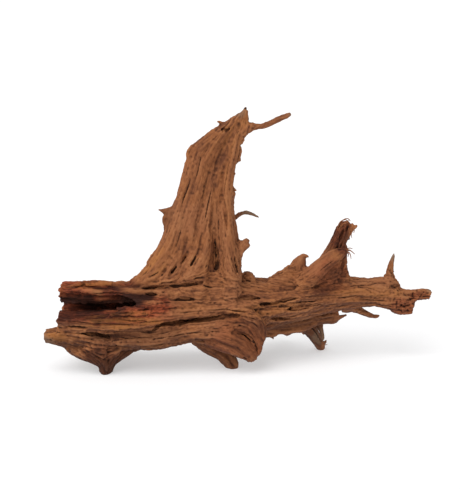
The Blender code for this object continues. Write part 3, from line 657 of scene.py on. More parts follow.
def fibre_noise():
    """One column for each width: the mean of the noise along the fibre through each point.

    A look counts by 0.5 + 0.5 cos(pi walked), which fades from 1 here to 0 at the walk's end.
    """
    total = np.zeros((len(points), len(FIBRE_WIDTHS)), np.float32)
    steps = math.ceil(max(FIBRE_LENGTHS) / WALK_STEP)
    for way in (1, -1):
        places, heading = points.astype(np.float32), (way * grain).astype(np.float32)
        for step in range(steps):
            for which, width in enumerate(FIBRE_WIDTHS):
                for look in range(LOOKS[which]):
                    ahead = look / LOOKS[which]
                    walked = (step + ahead) * WALK_STEP / FIBRE_LENGTHS[which]
                    if walked < 1:
                        fade = 0.5 + 0.5 * math.cos(math.pi * walked)
                        spot = places + ahead * WALK_STEP * heading
                        total[:, which] += fade * lattice_noise(which, spot, width)
            heading = turned_to_grain(heading, from_grid(places))
            places = places + WALK_STEP * heading
    return np.stack([even(total[:, k]) for k in range(len(FIBRE_WIDTHS))], 1).astype(float)


bundles, strands, splits, fibres = fibre_noise().T
print("fibre noise for", len(bundles), "points")

# %% [markdown]
# Weather and rot don't follow the fibres: they leave patches, blotches, pores and grit. A material
# has such noises ready-made. But the relief needs them as numbers too, so they are read from the
# same kind of lattice, in four widths.

# %% Noise with no direction
PATCH_WIDTH = 0.030
BLOTCH_WIDTH = 0.011
PORE_WIDTH = 0.0048
GRIT_WIDTH = 0.0026
FOR_PATCHES, FOR_BLOTCHES, FOR_PORES = (len(FIBRE_WIDTHS) + k for k in range(3))
# The grit reads the lattice of the blotches at another place.
GRIT_SHIFT = 0.5


def round_noise(which, places, width):
    """A noise as wide one way as the other, with a mean of 0 and a spread of 1."""
    return even(lattice_noise(which, places, width)).astype(float)


patches = round_noise(FOR_PATCHES, points, PATCH_WIDTH)
blotches = round_noise(FOR_BLOTCHES, points, BLOTCH_WIDTH)
pores = round_noise(FOR_PORES, points, PORE_WIDTH)
grit = round_noise(FOR_BLOTCHES, points + GRIT_SHIFT, GRIT_WIDTH)
print("noises", PATCH_WIDTH, BLOTCH_WIDTH, PORE_WIDTH, GRIT_WIDTH, "m wide")

# %% [markdown]
# Some stretches of the root are worn calm, some are rugged, and some crumble. A brush would paint
# that on. Here each stretch is a spot: a ball that may be longer one way than another, full in
# its middle and fading to nothing at its rim, which the noise frays.

# %% Calm, rugged and crumbled stretches
# Each is the middle (x, y, z) and the three radii, in millimetres, and how strong it is.
CALM = [
    (-45, -40, 210, 60, 60, 100, 0.75), (-90, -40, 140, 45, 30, 40, 0.55),
    (4, -55, 40, 46, 40, 26, 0.45), (130, -10, 82, 60, 30, 16, 0.6),
    (-80, -60, 76, 60, 20, 12, 0.45), (72, -10, 115, 20, 24, 24, 0.6),
    (95, -16, 120, 35, 20, 30, 0.6), (-88, -25, 184, 16, 20, 22, 0.9),
    (-140, -45, 108, 50, 30, 10, 0.8), (214, 16, 84, 24, 20, 7, 0.8),
]
RUGGED = [
    (-190, -55, 94, 56, 40, 18, 0.9), (-160, -64, 30, 60, 40, 36, 0.9),
    (-120, -66, 78, 36, 30, 14, 0.9), (112, 6, 140, 16, 24, 30, 0.6),
]
CRUMBLED = [
    (196, 0, 65, 20, 34, 16, 1), (218, 14, 76, 18, 26, 12, 0.9), (-124, -68, 74, 26, 16, 9, 0.35),
    (-208, -52, 94, 16, 40, 14, 0.6), (-222, -54, 42, 22, 24, 16, 0.5),
    (-158, -64, 30, 44, 34, 34, 0.35), (-130, -70, 62, 60, 24, 12, 0.3),
    (-180, -56, 94, 50, 40, 14, 0.45), (126, 10, 158, 14, 18, 14, 0.3),
    (12, -58, 16, 16, 22, 14, 0.5), (-5, -36, 112, 22, 18, 20, 0.4),
]
SPOT_EDGES = (1, 0.25)
CALM_FRAY = 0.1
CRUMB_FRAY = 0.2
ROUGH_LEAST, ROUGH_MORE = 0.7, 0.4
ROUGH_STEP = (-1, 1)


def step_up(low, high, values):
    """A smooth step from 0 at low to 1 at high: 3 t^2 - 2 t^3."""
    t = np.clip((values - low) / (high - low), 0, 1)
    return t * t * (3 - 2 * t)


def spots(places, listed, frayed=0.0):
    """The strongest of the listed spots at each place: strength times a dome over its radii."""
    value = np.zeros(len(places))
    for *ball, strength in listed:
        middle, radii = metres(ball).reshape(2, 3)
        away = (((places - middle) / radii) ** 2).sum(1)
        value = np.maximum(value, strength * step_up(*SPOT_EDGES, away + frayed))
    return value


rough = 1 - spots(points, CALM, CALM_FRAY * bundles)
rough *= ROUGH_LEAST + ROUGH_MORE * step_up(*ROUGH_STEP, patches)
rough *= 1 + spots(points, RUGGED, CALM_FRAY * bundles)
crumbled = spots(points, CRUMBLED, CRUMB_FRAY * blotches)
print("roughness from", rough.min().round(2), "to", rough.max().round(2))

# %% [markdown]
# The relief is a sum. Hard fibres stand up with lens-shaped valleys between them, because the soft
# ones wash out first. Old wood also comes away in layers, so a bundle ends in a low step above the
# next. A bump in the material would cost less, but it can't break an outline, and all of this
# shows there.

# %% Relief along the grain
# How deep each is, in metres.
BUNDLE_DEPTH = 0.0007
STRAND_DEPTH = 0.0007
FIBRE_DEPTH = 0.00045
GRIT_DEPTH = 0.00022
LAYER_HEIGHT = 0.0005
CHECK_DEPTH = 0.0030
# Between which values of its noise each rises, and the mean that is taken off.
BUNDLE_STEP, BUNDLE_MEAN = (-1.9, -0.1), 0.7
STRAND_STEP, STRAND_MEAN = (-1.7, 0.2), 0.6
LAYER_EDGES, LAYER_BLUR = (-0.6, 0.2, 1.0), 0.08
CHECK_STEP, CHECK_PATCHES = (-1.45, -2.6), 0.25
FIBRE_LIMITS, FIBRE_LEAST = (-2.2, 1.4), 0.4
GRIT_LIMITS = (-2, 2)


def wood_relief():
    """Bundles + strands + layers - checks, all times the roughness, + fibres + grit."""
    layers = sum(step_up(at - LAYER_BLUR, at + LAYER_BLUR, bundles) for at in LAYER_EDGES)
    height = BUNDLE_DEPTH * (step_up(*BUNDLE_STEP, bundles) - BUNDLE_MEAN)
    height += STRAND_DEPTH * (step_up(*STRAND_STEP, strands) - STRAND_MEAN)
    height += LAYER_HEIGHT * (layers - len(LAYER_EDGES) / 2)
    height -= CHECK_DEPTH * step_up(*CHECK_STEP, splits + CHECK_PATCHES * patches)
    height *= rough
    fibre_share = FIBRE_LEAST + (1 - FIBRE_LEAST) * rough
    height += FIBRE_DEPTH * fibre_share * np.clip(fibres, *FIBRE_LIMITS)
    return height + GRIT_DEPTH * np.clip(grit, *GRIT_LIMITS)


relief = wood_relief()
print("relief from", round(relief.min() / MM, 1), "to", round(relief.max() / MM, 1), "mm")

# %% [markdown]
# Thin edges are ragged, rot leaves crumbs, and where fibres end in the open they stand out by
# different lengths. A brush would find the edges by hand. Here an edge is where the skin bulges
# above the mean of the skin around it, and an end is where the fibres run straight out of it.

# %% Ragged edges, torn ends and crumbs
EDGE_DEPTH = 0.0012
END_LENGTH = 0.0014
CRUMB_DEPTH = 0.0024
# An edge is found by how far the skin bulges there. Twigs thinner than this reach have none.
EDGE_PASSES, EDGE_BULGE, EDGE_STEP = 60, 0.0022, (0.25, 1.0)
THIN_LIMB, THICK_LIMB = 0.25, 0.75
EDGE_BLOTCHES, EDGE_LIMITS = 0.6, (-2.2, 1.6)
END_FACING, END_STRANDS, END_BUNDLES, END_LIMITS = (0.55, 0.85), 0.5, 0.8, (-2.2, 2.2)
PORE_STEP, GRIT_STEP, CRUMB_MEAN = (0.2, 1.8), (0.0, 1.6), 0.5
# Thin limbs get a share of the relief, and the feet stay flat where they stand.
FULL_RELIEF_REACH, LEAST_SHARE = 0.022, 0.16
FOOT_BAND = (0.0005, 0.006)


def hollowness(passes, size):
    """How far the skin around a point stands above it, as a share of size."""
    return ((smoothed(points, passes) - points) * normals).sum(1) / size


slender = np.clip(reach_here / FULL_RELIEF_REACH, LEAST_SHARE, 1)
thick = np.clip((slender - THIN_LIMB) / (THICK_LIMB - THIN_LIMB), 0, 1)
edge = step_up(*EDGE_STEP, -hollowness(EDGE_PASSES, EDGE_BULGE)) * thick
relief += EDGE_DEPTH * edge * rough * np.clip(pores + EDGE_BLOTCHES * blotches, *EDGE_LIMITS)
torn_end = step_up(*END_FACING, np.abs((grain * normals).sum(1))) * edge
uneven = np.clip(END_STRANDS * strands + END_BUNDLES * bundles, *END_LIMITS)
relief += END_LENGTH * torn_end * uneven
crumbs = step_up(*PORE_STEP, pores) + step_up(*GRIT_STEP, grit) - CRUMB_MEAN
relief -= CRUMB_DEPTH * crumbled * crumbs
relief *= slender * step_up(*FOOT_BAND, points[:, 2])
print("relief from", round(relief.min() / MM, 1), "to", round(relief.max() / MM, 1), "mm")

# %% [markdown]
# The larger shrinkage cracks are placed one by one, where the real root has them. A crack could be
# cut with a knife-shaped mesh, but it would cross the fibres. Here each is given by its middle,
# its length, its half width and its depth, and from the middle it walks along the fibres both
# ways. Every step is set back on the skin as it was before the relief.

# %% Cracks that follow the fibres
# Each is the middle (x, y, z), the length, the half width and the depth, in millimetres.
CRACKS = [
    (-104, -40, 98, 34, 1.1, 4), (-66, -47, 103, 50, 1.2, 5), (-39, -45, 101, 18, 1.1, 4),
    (-104, -47, 92, 26, 1, 4), (-67, -51, 87, 30, 1.2, 4), (8, -37, 84, 40, 1.5, 6),
    (26, -36, 79, 20, 1.1, 3), (57, -32, 82, 32, 1.1, 4), (68, -27, 69, 34, 1.4, 5),
    (24, -44, 63, 26, 1.3, 5), (50, -28, 58, 36, 1.1, 4), (-9, -55, 75, 36, 1.1, 4),
    (-67, -35, 131, 24, 0.9, 3), (-56, -41, 131, 20, 0.9, 3), (-79, -40, 120, 18, 0.9, 3),
    (-30, -28, 146, 34, 1.2, 3), (-30, -33, 121, 22, 1.3, 3), (-7, -40, 125, 30, 1, 3),
    (-64, -33, 211, 36, 0.9, 2), (-39, -39, 196, 50, 0.9, 2), (-22, -40, 225, 44, 1, 3),
    (-50, -36, 240, 30, 0.8, 2), (-85, -36, 160, 26, 0.9, 3), (-110, -66, 46, 30, 1, 3),
    (-100, -66, 40, 24, 1, 3), (-190, -68, 60, 30, 1.1, 3), (120, 2, 150, 26, 1.4, 4),
    (100, -26, 122, 26, 0.7, 1.5), (130, -12, 80, 40, 0.9, 2), (160, -6, 74, 30, 0.9, 2),
    (-60, 6, 160, 60, 1.4, 4), (-30, 2, 200, 50, 1.2, 4), (-90, 2, 120, 40, 1.3, 4),
    (-120, 10, 70, 60, 1.4, 5), (-20, 20, 60, 50, 1.3, 5), (60, 20, 90, 50, 1.2, 4),
    (110, 24, 80, 40, 1.1, 4), (-180, -30, 30, 40, 1.2, 4), (-60, -30, 36, 50, 1.2, 4),
    (4, -50, 47, 34, 1, 4), (14, -54, 36, 22, 1.4, 5), (118, 2, 144, 36, 1, 4),
    (122, 2, 156, 22, 1.2, 5), (112, 0, 136, 26, 0.9, 3), (-150, -60, 98, 40, 1.1, 3),
    (-185, -58, 92, 36, 1, 3), (-175, -58, 66, 44, 1, 3),
]
CRACK_STEP = 0.002
CRACK_HEADING = (0.8, 0.0, 0.6)
CRACK_MARGIN = 3
CRACK_TAPER = 0.3
END_WIDTH, MORE_WIDTH, UNEVEN_WIDTH = 0.5, 0.7, 0.25
skin_tree = BVHTree.FromObject(wood, bpy.context.evaluated_depsgraph_get())


def on_surface(place):
    """The nearest point of the skin."""
    return np.array(skin_tree.find_nearest(Vector(place))[0])


def crack_course(middle, length):
    """Points along the fibre through the middle, set on the surface, from end to end."""
    halves = []
    for way in (-1, 1):
        place = on_surface(middle)
        heading = way * np.array([CRACK_HEADING])
        course = [place]
        for _ in range(round(length / 2 / CRACK_STEP)):
            heading = turned_to_grain(heading, from_grid(place[None]))
            place = on_surface(place + CRACK_STEP * heading[0])
            course.append(place)
        halves.append(course)
    return np.array(halves[0][:0:-1] + halves[1])


def carve_crack(course, half_width, depth):
    """A groove along the course: depth times (1 - (distance / width)^2), tapered at its ends."""
    margin = CRACK_MARGIN * half_width
    inside = (points > course.min(0) - margin) & (points < course.max(0) + margin)
    near = np.flatnonzero(inside.all(1))
    distance, _ = nearest_on(course, points[near])
    ends = np.linalg.norm(course[-1] - course[0])
    from_ends = np.minimum(np.linalg.norm(points[near] - course[0], axis=1),
                           np.linalg.norm(points[near] - course[-1], axis=1))
    taper = step_up(0, CRACK_TAPER * ends, from_ends)
    wide = half_width * (END_WIDTH + MORE_WIDTH * taper) * (1 + UNEVEN_WIDTH * blotches[near])
    relief[near] -= depth * taper * np.clip(1 - (distance / wide) ** 2, 0, 1)


for *middle, length, half_width, depth in metres(CRACKS):
    carve_crack(crack_course(middle, length), half_width, depth)
print(len(CRACKS), "cracks carved")

# %% [markdown]
# On the knuckle and at the toe, one layer of wood ends over another and leaves a fold. It runs
# across the fibres, so its course is drawn point by point. The groove is carved as a crack's is.

# %% Folds where one layer of wood ends over another
# Each is its points (x, y, z), the half width and the depth, in millimetres.
FOLDS = [
    ([(-12, -56, 47), (2, -58, 46.5), (10, -58, 42), (15.5, -58, 35), (18, -58, 26),
      (20, -57, 18)], 1.4, 3.6),
    ([(-188, -66, 50.5), (-170, -68, 49.5), (-158, -69, 47.5), (-150, -69, 42)], 1.6, 4.5),
]
for line, half_width, depth in FOLDS:
    course = np.array([on_surface(place) for place in through(metres(line), CRACK_STEP)])
    carve_crack(course, metres(half_width), metres(depth))
print(len(FOLDS), "folds carved")

# %% [markdown]
# Around the red knot and in the porous end, rot has eaten short slots into the wood. They are too
# short to follow a fibre, so each is a spot that is long one way and thin the other.

# %% Rotten pits
# Each is the middle (x, y, z), the three radii and the depth, in millimetres.
PITS = [
    (-113, -69, 79, 8, 12, 1.4, 3.4), (-104, -68, 72, 6, 12, 1.3, 3),
    (-128, -70, 71, 11, 12, 1.3, 2.8), (206, 4, 74, 8, 14, 1.4, 3),
    (196, -6, 66, 5, 14, 1.6, 2.6),
]
PIT_FRAY = 0.25
for *ball, depth in PITS:
    relief -= metres(depth) * spots(points, [(*ball, 1)], PIT_FRAY * pores)
print(len(PITS), "pits")

# %% [markdown]
# The relief is now one number for each point, and each point moves along its normal by that much.
# A Displace modifier would do the same, but it takes its amounts from a texture or a vertex group,
# which hold nothing below zero. The feet are held at the floor.

# %% Put the relief on the skin
points = points + relief[:, None] * normals
points[:, 2] = np.maximum(points[:, 2], 0)
wood.data.vertices.foreach_set("co", points.astype(np.float32).ravel())
wood.data.update()
print("the finished skin from", points.min(0).round(3), "to", points.max(0).round(3))

# %% [markdown]
# Much of the colour is by place. Rot turns the trough, the knot and the fork red, painted shade
# darkens the hollows, the lower trunk and the feet, weather bleaches the tips, and the wood is
# golden where it is rubbed.
# Such places could be painted on an image. As spots they stay with the wood at any scale.

# %% Where the wood is rotten, golden, darkened by painted shade, and bleached
# Each is the middle (x, y, z) and the three radii, in millimetres, and how strong it is.
ROTTEN = [
    (-188, -55, 92, 95, 75, 26, 1), (-180, -50, 77, 110, 80, 18, 1),
    (-126, -66, 79, 50, 40, 17, 1), (122, 6, 150, 20, 30, 30, 0.7),
    (196, 0, 65, 20, 30, 14, 0.55), (215, 14, 74, 16, 20, 9, 0.5),
    (-160, -66, 22, 34, 30, 28, 0.35), (10, -56, 30, 22, 20, 16, 0.35),
    (0, -55, 42, 50, 40, 26, 0.32), (-100, -66, 70, 30, 24, 12, 0.4),
    (105, -10, 106, 34, 40, 26, 0.45),
]
GOLDEN = [
    (-136, -70, 63, 70, 24, 10, 0.85), (-212, -52, 96, 14, 30, 10, 0.4),
    (-130, -70, 76, 34, 24, 5, 0.45), (-160, -55, 104, 50, 30, 8, 0.7),
    (-14, -36, 225, 12, 30, 80, 0.15), (-215, -64, 47, 22, 24, 8, 0.8),
    (150, -6, 84, 80, 30, 10, 0.45), (30, -40, 72, 60, 30, 10, 0.35),
    (-10, -32, 285, 40, 30, 30, 0.3), (-110, -36, 130, 30, 30, 30, 0.5),
]
# These spots are painted shade: they darken the trough, the hollows, the lower trunk and the feet.
PAINTED_SHADE_SPOTS = [
    (-158, -60, 8, 50, 50, 40, 0.8), (-176, -40, 82, 85, 60, 13, 1),
    (-126, -50, 88, 28, 40, 13, 1), (-180, -50, 91, 75, 60, 9, 0.55),
    (-185, -50, 73, 66, 50, 9, 0.6), (-160, -50, 96, 66, 50, 10, 0.45),
    (-162, -66, 47, 26, 20, 7, 0.65), (-110, -60, 36, 100, 50, 22, 0.42),
    (-205, -60, 38, 40, 40, 18, 0.42), (10, -56, 36, 44, 30, 28, 0.26),
    (104, -10, 104, 28, 30, 20, 0.22), (-120, -52, 96, 24, 40, 12, 0.55),
    (-150, -66, 34, 30, 24, 14, 0.4), (118, 10, 148, 20, 30, 30, 0.5),
    (80, 0, 46, 70, 40, 12, 0.35), (-18, -34, 14, 24, 24, 22, 0.35),
    (92, 30, 26, 24, 30, 26, 0.45), (-86, -26, 184, 12, 20, 20, 0.3),
]
BLEACHED = [
    (-228, -56, 40, 14, 30, 12, 0.35), (58, -42, 303, 7, 10, 7, 0.4),
    (12, -1, 178, 14, 14, 10, 0.6), (183, 13, 128, 10, 10, 12, 0.6), (230, 21, 81, 8, 12, 5, 0.4),
    (100, 22, 18, 14, 14, 16, 0.5), (-2, -32, 304, 8, 10, 8, 0.4),
]
print(len(ROTTEN + GOLDEN + PAINTED_SHADE_SPOTS + BLEACHED), "coloured spots")

# %% [markdown]
# Dirt and painted shade gather in the hollows of a surface, and wear and a painted highlight
# lighten its ridges. How hollow a point is can be measured: it is how far the point lies below the
# mean of the skin around it.
# A material can't look around like that, so the numbers are stored on the wood as attributes,
# together with the noises and the places, and the material reads them.

# %% What the colours depend on
FINE_PASSES, FINE_HOLLOW = 9, 0.00042
WIDE_PASSES, WIDE_HOLLOW = 70, 0.0025
VALLEY_MEAN, VALLEY_FINE, VALLEY_WIDE = 0.5, 0.26, 0.20
FRAY_BUNDLES, FRAY_BLOTCHES = 0.18, 0.14
# Where the wood faces down and lies low, for the darker underside, which is partly painted shade.
FACING_DOWN, LOW_DOWN = (0.1, -0.8), (0.13, 0.07)
# How much each noise changes the tone, and how much more it shows on rough wood.
TONE_STRANDS, TONE_BUNDLES, TONE_FIBRES = 0.05, 0.03, 0.07
TONE_GRIT, TONE_PATCHES, TONE_BLOTCHES = 0.035, 0.06, 0.05
TONE_MEAN, TONE_CALM, TONE_ROUGH, ROUGH_MOST = 0.5, 0.65, 0.45, 1.2
PATCH_STEP, PATCH_BUNDLES = (-1.6, 1.6), 0.4
GOLD_STEP = (-1.5, 1)


def keep_on(piece, name, values):
    """Stores one number or three for each vertex, for the material to read."""
    kind, what = ("FLOAT", "value") if values.ndim == 1 else ("FLOAT_VECTOR", "vector")
    attribute = piece.data.attributes.new(name, kind, "POINT")
    attribute.data.foreach_set(what, values.astype(np.float32).ravel())


def keep_grain(piece, directions):
    """Stores x^2, y^2, z^2 and xy, yz, zx, which are the same for both ways along a fibre."""
    keep_on(piece, "grain_squares", directions**2)
    keep_on(piece, "grain_products", directions * np.roll(directions, -1, axis=1))


normals = read(wood.data, "vertex_normals", "vector")
fine_hollow = (smoothed(relief[:, None], FINE_PASSES)[:, 0] - relief) / FINE_HOLLOW
wide_hollow = hollowness(WIDE_PASSES, WIDE_HOLLOW)
# The valley number darkens hollows with dirt and painted shade, and lightens ridges with wear and
# a painted highlight.
valley = VALLEY_MEAN + VALLEY_FINE * fine_hollow + VALLEY_WIDE * wide_hollow
frayed = FRAY_BUNDLES * bundles + FRAY_BLOTCHES * blotches
tone = TONE_STRANDS * strands + TONE_BUNDLES * bundles + TONE_FIBRES * fibres
tone = TONE_MEAN + tone * (TONE_CALM + TONE_ROUGH * np.clip(rough, 0, ROUGH_MOST))
tone += TONE_GRIT * grit + TONE_PATCHES * patches + TONE_BLOTCHES * blotches
# Low wood that faces down is made darker: partly its own darker underside, partly painted shade.
underneath = step_up(*FACING_DOWN, normals[:, 2]) * step_up(*LOW_DOWN, points[:, 2])
keep_on(wood, "valley", np.clip(valley, 0, 1))
keep_on(wood, "tone", np.clip(tone, 0, 1))
keep_on(wood, "patch", step_up(*PATCH_STEP, patches + PATCH_BUNDLES * bundles))
keep_on(wood, "rot", spots(points, ROTTEN, frayed))
keep_on(wood, "gold", spots(points, GOLDEN, frayed) * step_up(*GOLD_STEP, strands))
# Painted shade spots.
keep_on(wood, "stain", spots(points, PAINTED_SHADE_SPOTS, frayed))
keep_on(wood, "bleach", spots(points, BLEACHED, frayed))
keep_on(wood, "underneath", underneath)
keep_on(wood, "coarse", np.clip(np.maximum(rough, crumbled), 0, 1))
keep_grain(wood, grain)
print("spread of the hollows", fine_hollow.std().round(2), wide_hollow.std().round(2))

# %% [markdown]
# The skin has far more faces than a calm stretch needs, and a piece has to stay under 200,000
# triangles. Decimate collapses the edges that matter least first, so the cracks and torn ends
# keep their small facets. It carries the stored numbers along.

# %% Thin out the skin
FINISHED_TRIANGLES = 196000
triangles = sum(len(face.vertices) - 2 for face in wood.data.polygons)
thinner = wood.modifiers.new("thin out", "DECIMATE")
thinner.ratio = min(1, FINISHED_TRIANGLES / triangles)
bake(wood)
wood.data.shade_smooth()
print("wood of", len(wood.data.polygons), "faces")

# %% [markdown]
# A material is a net of nodes. A few short calls keep its recipe readable: one for each kind of
# node that the wood needs.

# %% Short calls for nodes
# The mix node has sockets for each type of value: these are its share and its two colours.
SHARE, FIRST_COLOUR, SECOND_COLOUR, MIXED = 0, 6, 7, 2


def grey(value):
    return (value, value, value, 1)


class Shades:
    """Short calls for the nodes of one material."""

    def __init__(self, name):
        self.material = bpy.data.materials.new(name)
        self.material.use_nodes = True
        self.tree = self.material.node_tree
        self.surface = self.tree.nodes["Principled BSDF"]
        self.place = self.tree.nodes.new("ShaderNodeTexCoord").outputs["Object"]

    def fill(self, socket, value):
        """Links an output to the socket, or sets the socket to a plain value."""
        if hasattr(value, "links"):
            self.tree.links.new(value, socket)
        else:
            socket.default_value = value

    def stored(self, name, output="Fac"):
        node = self.tree.nodes.new("ShaderNodeAttribute")
        node.attribute_name = name
        return node.outputs[output]

    def mix(self, share, first, second):
        node = self.tree.nodes.new("ShaderNodeMix")
        node.data_type = "RGBA"
        for value, socket in ((share, SHARE), (first, FIRST_COLOUR), (second, SECOND_COLOUR)):
            self.fill(node.inputs[socket], value)
        return node.outputs[MIXED]

    def math(self, way, first, second):
        node = self.tree.nodes.new("ShaderNodeMath")
        node.operation = way
        self.fill(node.inputs[0], first)
        self.fill(node.inputs[1], second)
        return node.outputs[0]

    def dot(self, vector, numbers):
        node = self.tree.nodes.new("ShaderNodeVectorMath")
        node.operation = "DOT_PRODUCT"
        self.fill(node.inputs[0], vector)
        node.inputs[1].default_value = numbers
        return node.outputs["Value"]

    def ramp(self, value, *stops):
        """Colours, or greys where a stop has a plain number, by where the value lies."""
        node = self.tree.nodes.new("ShaderNodeValToRGB")
        self.fill(node.inputs["Fac"], value)
        elements = node.color_ramp.elements
        while len(elements) < len(stops):
            elements.new(0.5)
        for element, (position, colour) in zip(elements, stops):
            element.position = position
            element.color = colour if isinstance(colour, tuple) else grey(colour)
        return node.outputs["Color"]

    def noise(self, sizes, turn, detail):
        """A noise with blots of these three sizes, turned from the X axis."""
        turned = self.tree.nodes.new("ShaderNodeMapping")
        turned.vector_type = "TEXTURE"
        turned.inputs["Rotation"].default_value = turn
        turned.inputs["Scale"].default_value = sizes
        self.fill(turned.inputs["Vector"], self.place)
        node = self.tree.nodes.new("ShaderNodeTexNoise")
        node.inputs["Scale"].default_value = 1
        node.inputs["Detail"].default_value = detail
        self.fill(node.inputs["Vector"], turned.outputs["Vector"])
        return node.outputs["Fac"]


print("calls for nodes:", ", ".join(name for name in vars(Shades) if not name.startswith("_")))

# %% [markdown]
# Below a millimetre the grain is a noise that is stretched the way the fibres run. A stretched
# noise has one direction, so it is made for twelve directions a clock's half hour apart, and for
# the one from front to back. Each counts by how well it fits the fibres, so the pattern turns
# with them. So many noises cost render time, but a pattern with one direction would cut straight
# across every bent limb.

# %% The fine grain
GRAIN_ACROSS = 0.0011
GRAIN_ALONG = 0.011
GRAIN_DETAIL = 3
GRAIN_TURNS = 12
GRAIN_FIT = 24
NO_WEIGHT = 0.0001


def grain_noise(shades):
    """The sum of w times noise over the directions d, with w = (grain . d)^(2 fit) / sum of w."""
    squares = shades.stored("grain_squares", "Vector")
    products = shades.stored("grain_products", "Vector")
    sizes = (GRAIN_ALONG, GRAIN_ACROSS, GRAIN_ACROSS)
    parts = [(shades.dot(squares, (0, 1, 0)), (0, 0, math.pi / 2))]
    for number in range(GRAIN_TURNS):
        turn = math.pi * number / GRAIN_TURNS
        c, s = math.cos(turn), math.sin(turn)
        fit = shades.math("ADD", shades.dot(squares, (c * c, 0, s * s)),
                          shades.dot(products, (0, 0, 2 * c * s)))
        parts.append((fit, (0, -turn, 0)))
    total, value = NO_WEIGHT, 0.0
    for fit, turn in parts:
        weight = shades.math("POWER", shades.math("MAXIMUM", fit, 0.0), GRAIN_FIT)
        total = shades.math("ADD", weight, total)
        part = shades.math("MULTIPLY", weight, shades.noise(sizes, turn, GRAIN_DETAIL))
        value = shades.math("ADD", part, value)
    return shades.math("DIVIDE", value, total)


print("grain", GRAIN_ACROSS / MM, "mm across and", GRAIN_ALONG / MM, "mm along")

# %% [markdown]
# The material mixes the browns by what was stored on the wood: streaks of light and dark along the
# fibres, then pinkish patches, the dark underside, which is partly painted shade, ridges lightened
# by wear and a painted highlight, rot, gold, painted shade in the hollows and at the feet,
# bleached tips and, last of all, dirt and painted shade in the valleys and dark dashes of painted
# shade between
# the fibres, where cracks too fine for the skin would be. The order is that of the real root's
# life:
# what came later covers what came before.

# %% Wood material
DARK_STREAK = (0.135, 0.046, 0.020, 1)
MIDDLE_BROWN = (0.264, 0.093, 0.032, 1)
LIGHT_STREAK = (0.375, 0.153, 0.057, 1)
PINK_BROWN = (0.262, 0.098, 0.043, 1)
GOLD_BROWN = (0.440, 0.168, 0.042, 1)
ROT_DARK = (0.060, 0.009, 0.004, 1)
ROT_BRIGHT = (0.330, 0.066, 0.024, 1)
# Painted shade for the hollows, the lower trunk and the feet.
SHADE_BROWN = (0.022, 0.0055, 0.0025, 1)
BLEACHED_GREY = (0.200, 0.140, 0.092, 1)
# The underside's darker brown, partly painted shade.
UNDERSIDE_AND_SHADE = (0.095, 0.038, 0.024, 1)
# Dirt and painted shade, for the hollows and for the dark dashes that stand for fine cracks.
DIRT_AND_SHADE = (0.026, 0.010, 0.006, 1)
# How much of each colour its place gets.
PINK_SHARE, UNDER_SHARE, ROT_SHARE, GOLD_SHARE, SHADE_SHARE = 0.6, 0.75, 0.95, 0.7, 0.92
# Ramps: where the value lies, and the colour or the number that it becomes there.
STREAKS = ((0.20, DARK_STREAK), (0.52, MIDDLE_BROWN), (0.88, LIGHT_STREAK))
ROT = ((0.32, ROT_DARK), (0.80, ROT_BRIGHT))
GRAIN_BY_COARSE = ((0.3, 0.38), (0.9, 1.10))
# Ridges turn lighter: partly wear, partly a painted highlight.
WEAR_AND_HIGHLIGHT_BY_VALLEY = ((0.12, 0.45), (0.42, 0))
# Dirt and painted shade grow with how hollow a point is.
DIRT_AND_SHADE_BY_VALLEY = ((0.50, 0), (0.68, 0.35), (0.95, 0.85))
# Dark dashes between the fibres are painted shade of cracks too fine for the skin, more in the
# valleys.
SHADE_DASHES_BY_GRAIN = ((0.30, 0.50), (0.40, 0))
SHADE_DASHES_BY_VALLEY = ((0.30, 0.4), (0.60, 1))
ROUGHNESS_BY_VALLEY = ((0.2, 0.68), (0.6, 0.92))
GRAIN_MEAN, GRAIN_GAIN = 0.5, 2.0
WOOD_SHINE = 0.2
BUMP_STRENGTH, BUMP_HEIGHT = 1.0, 0.0013


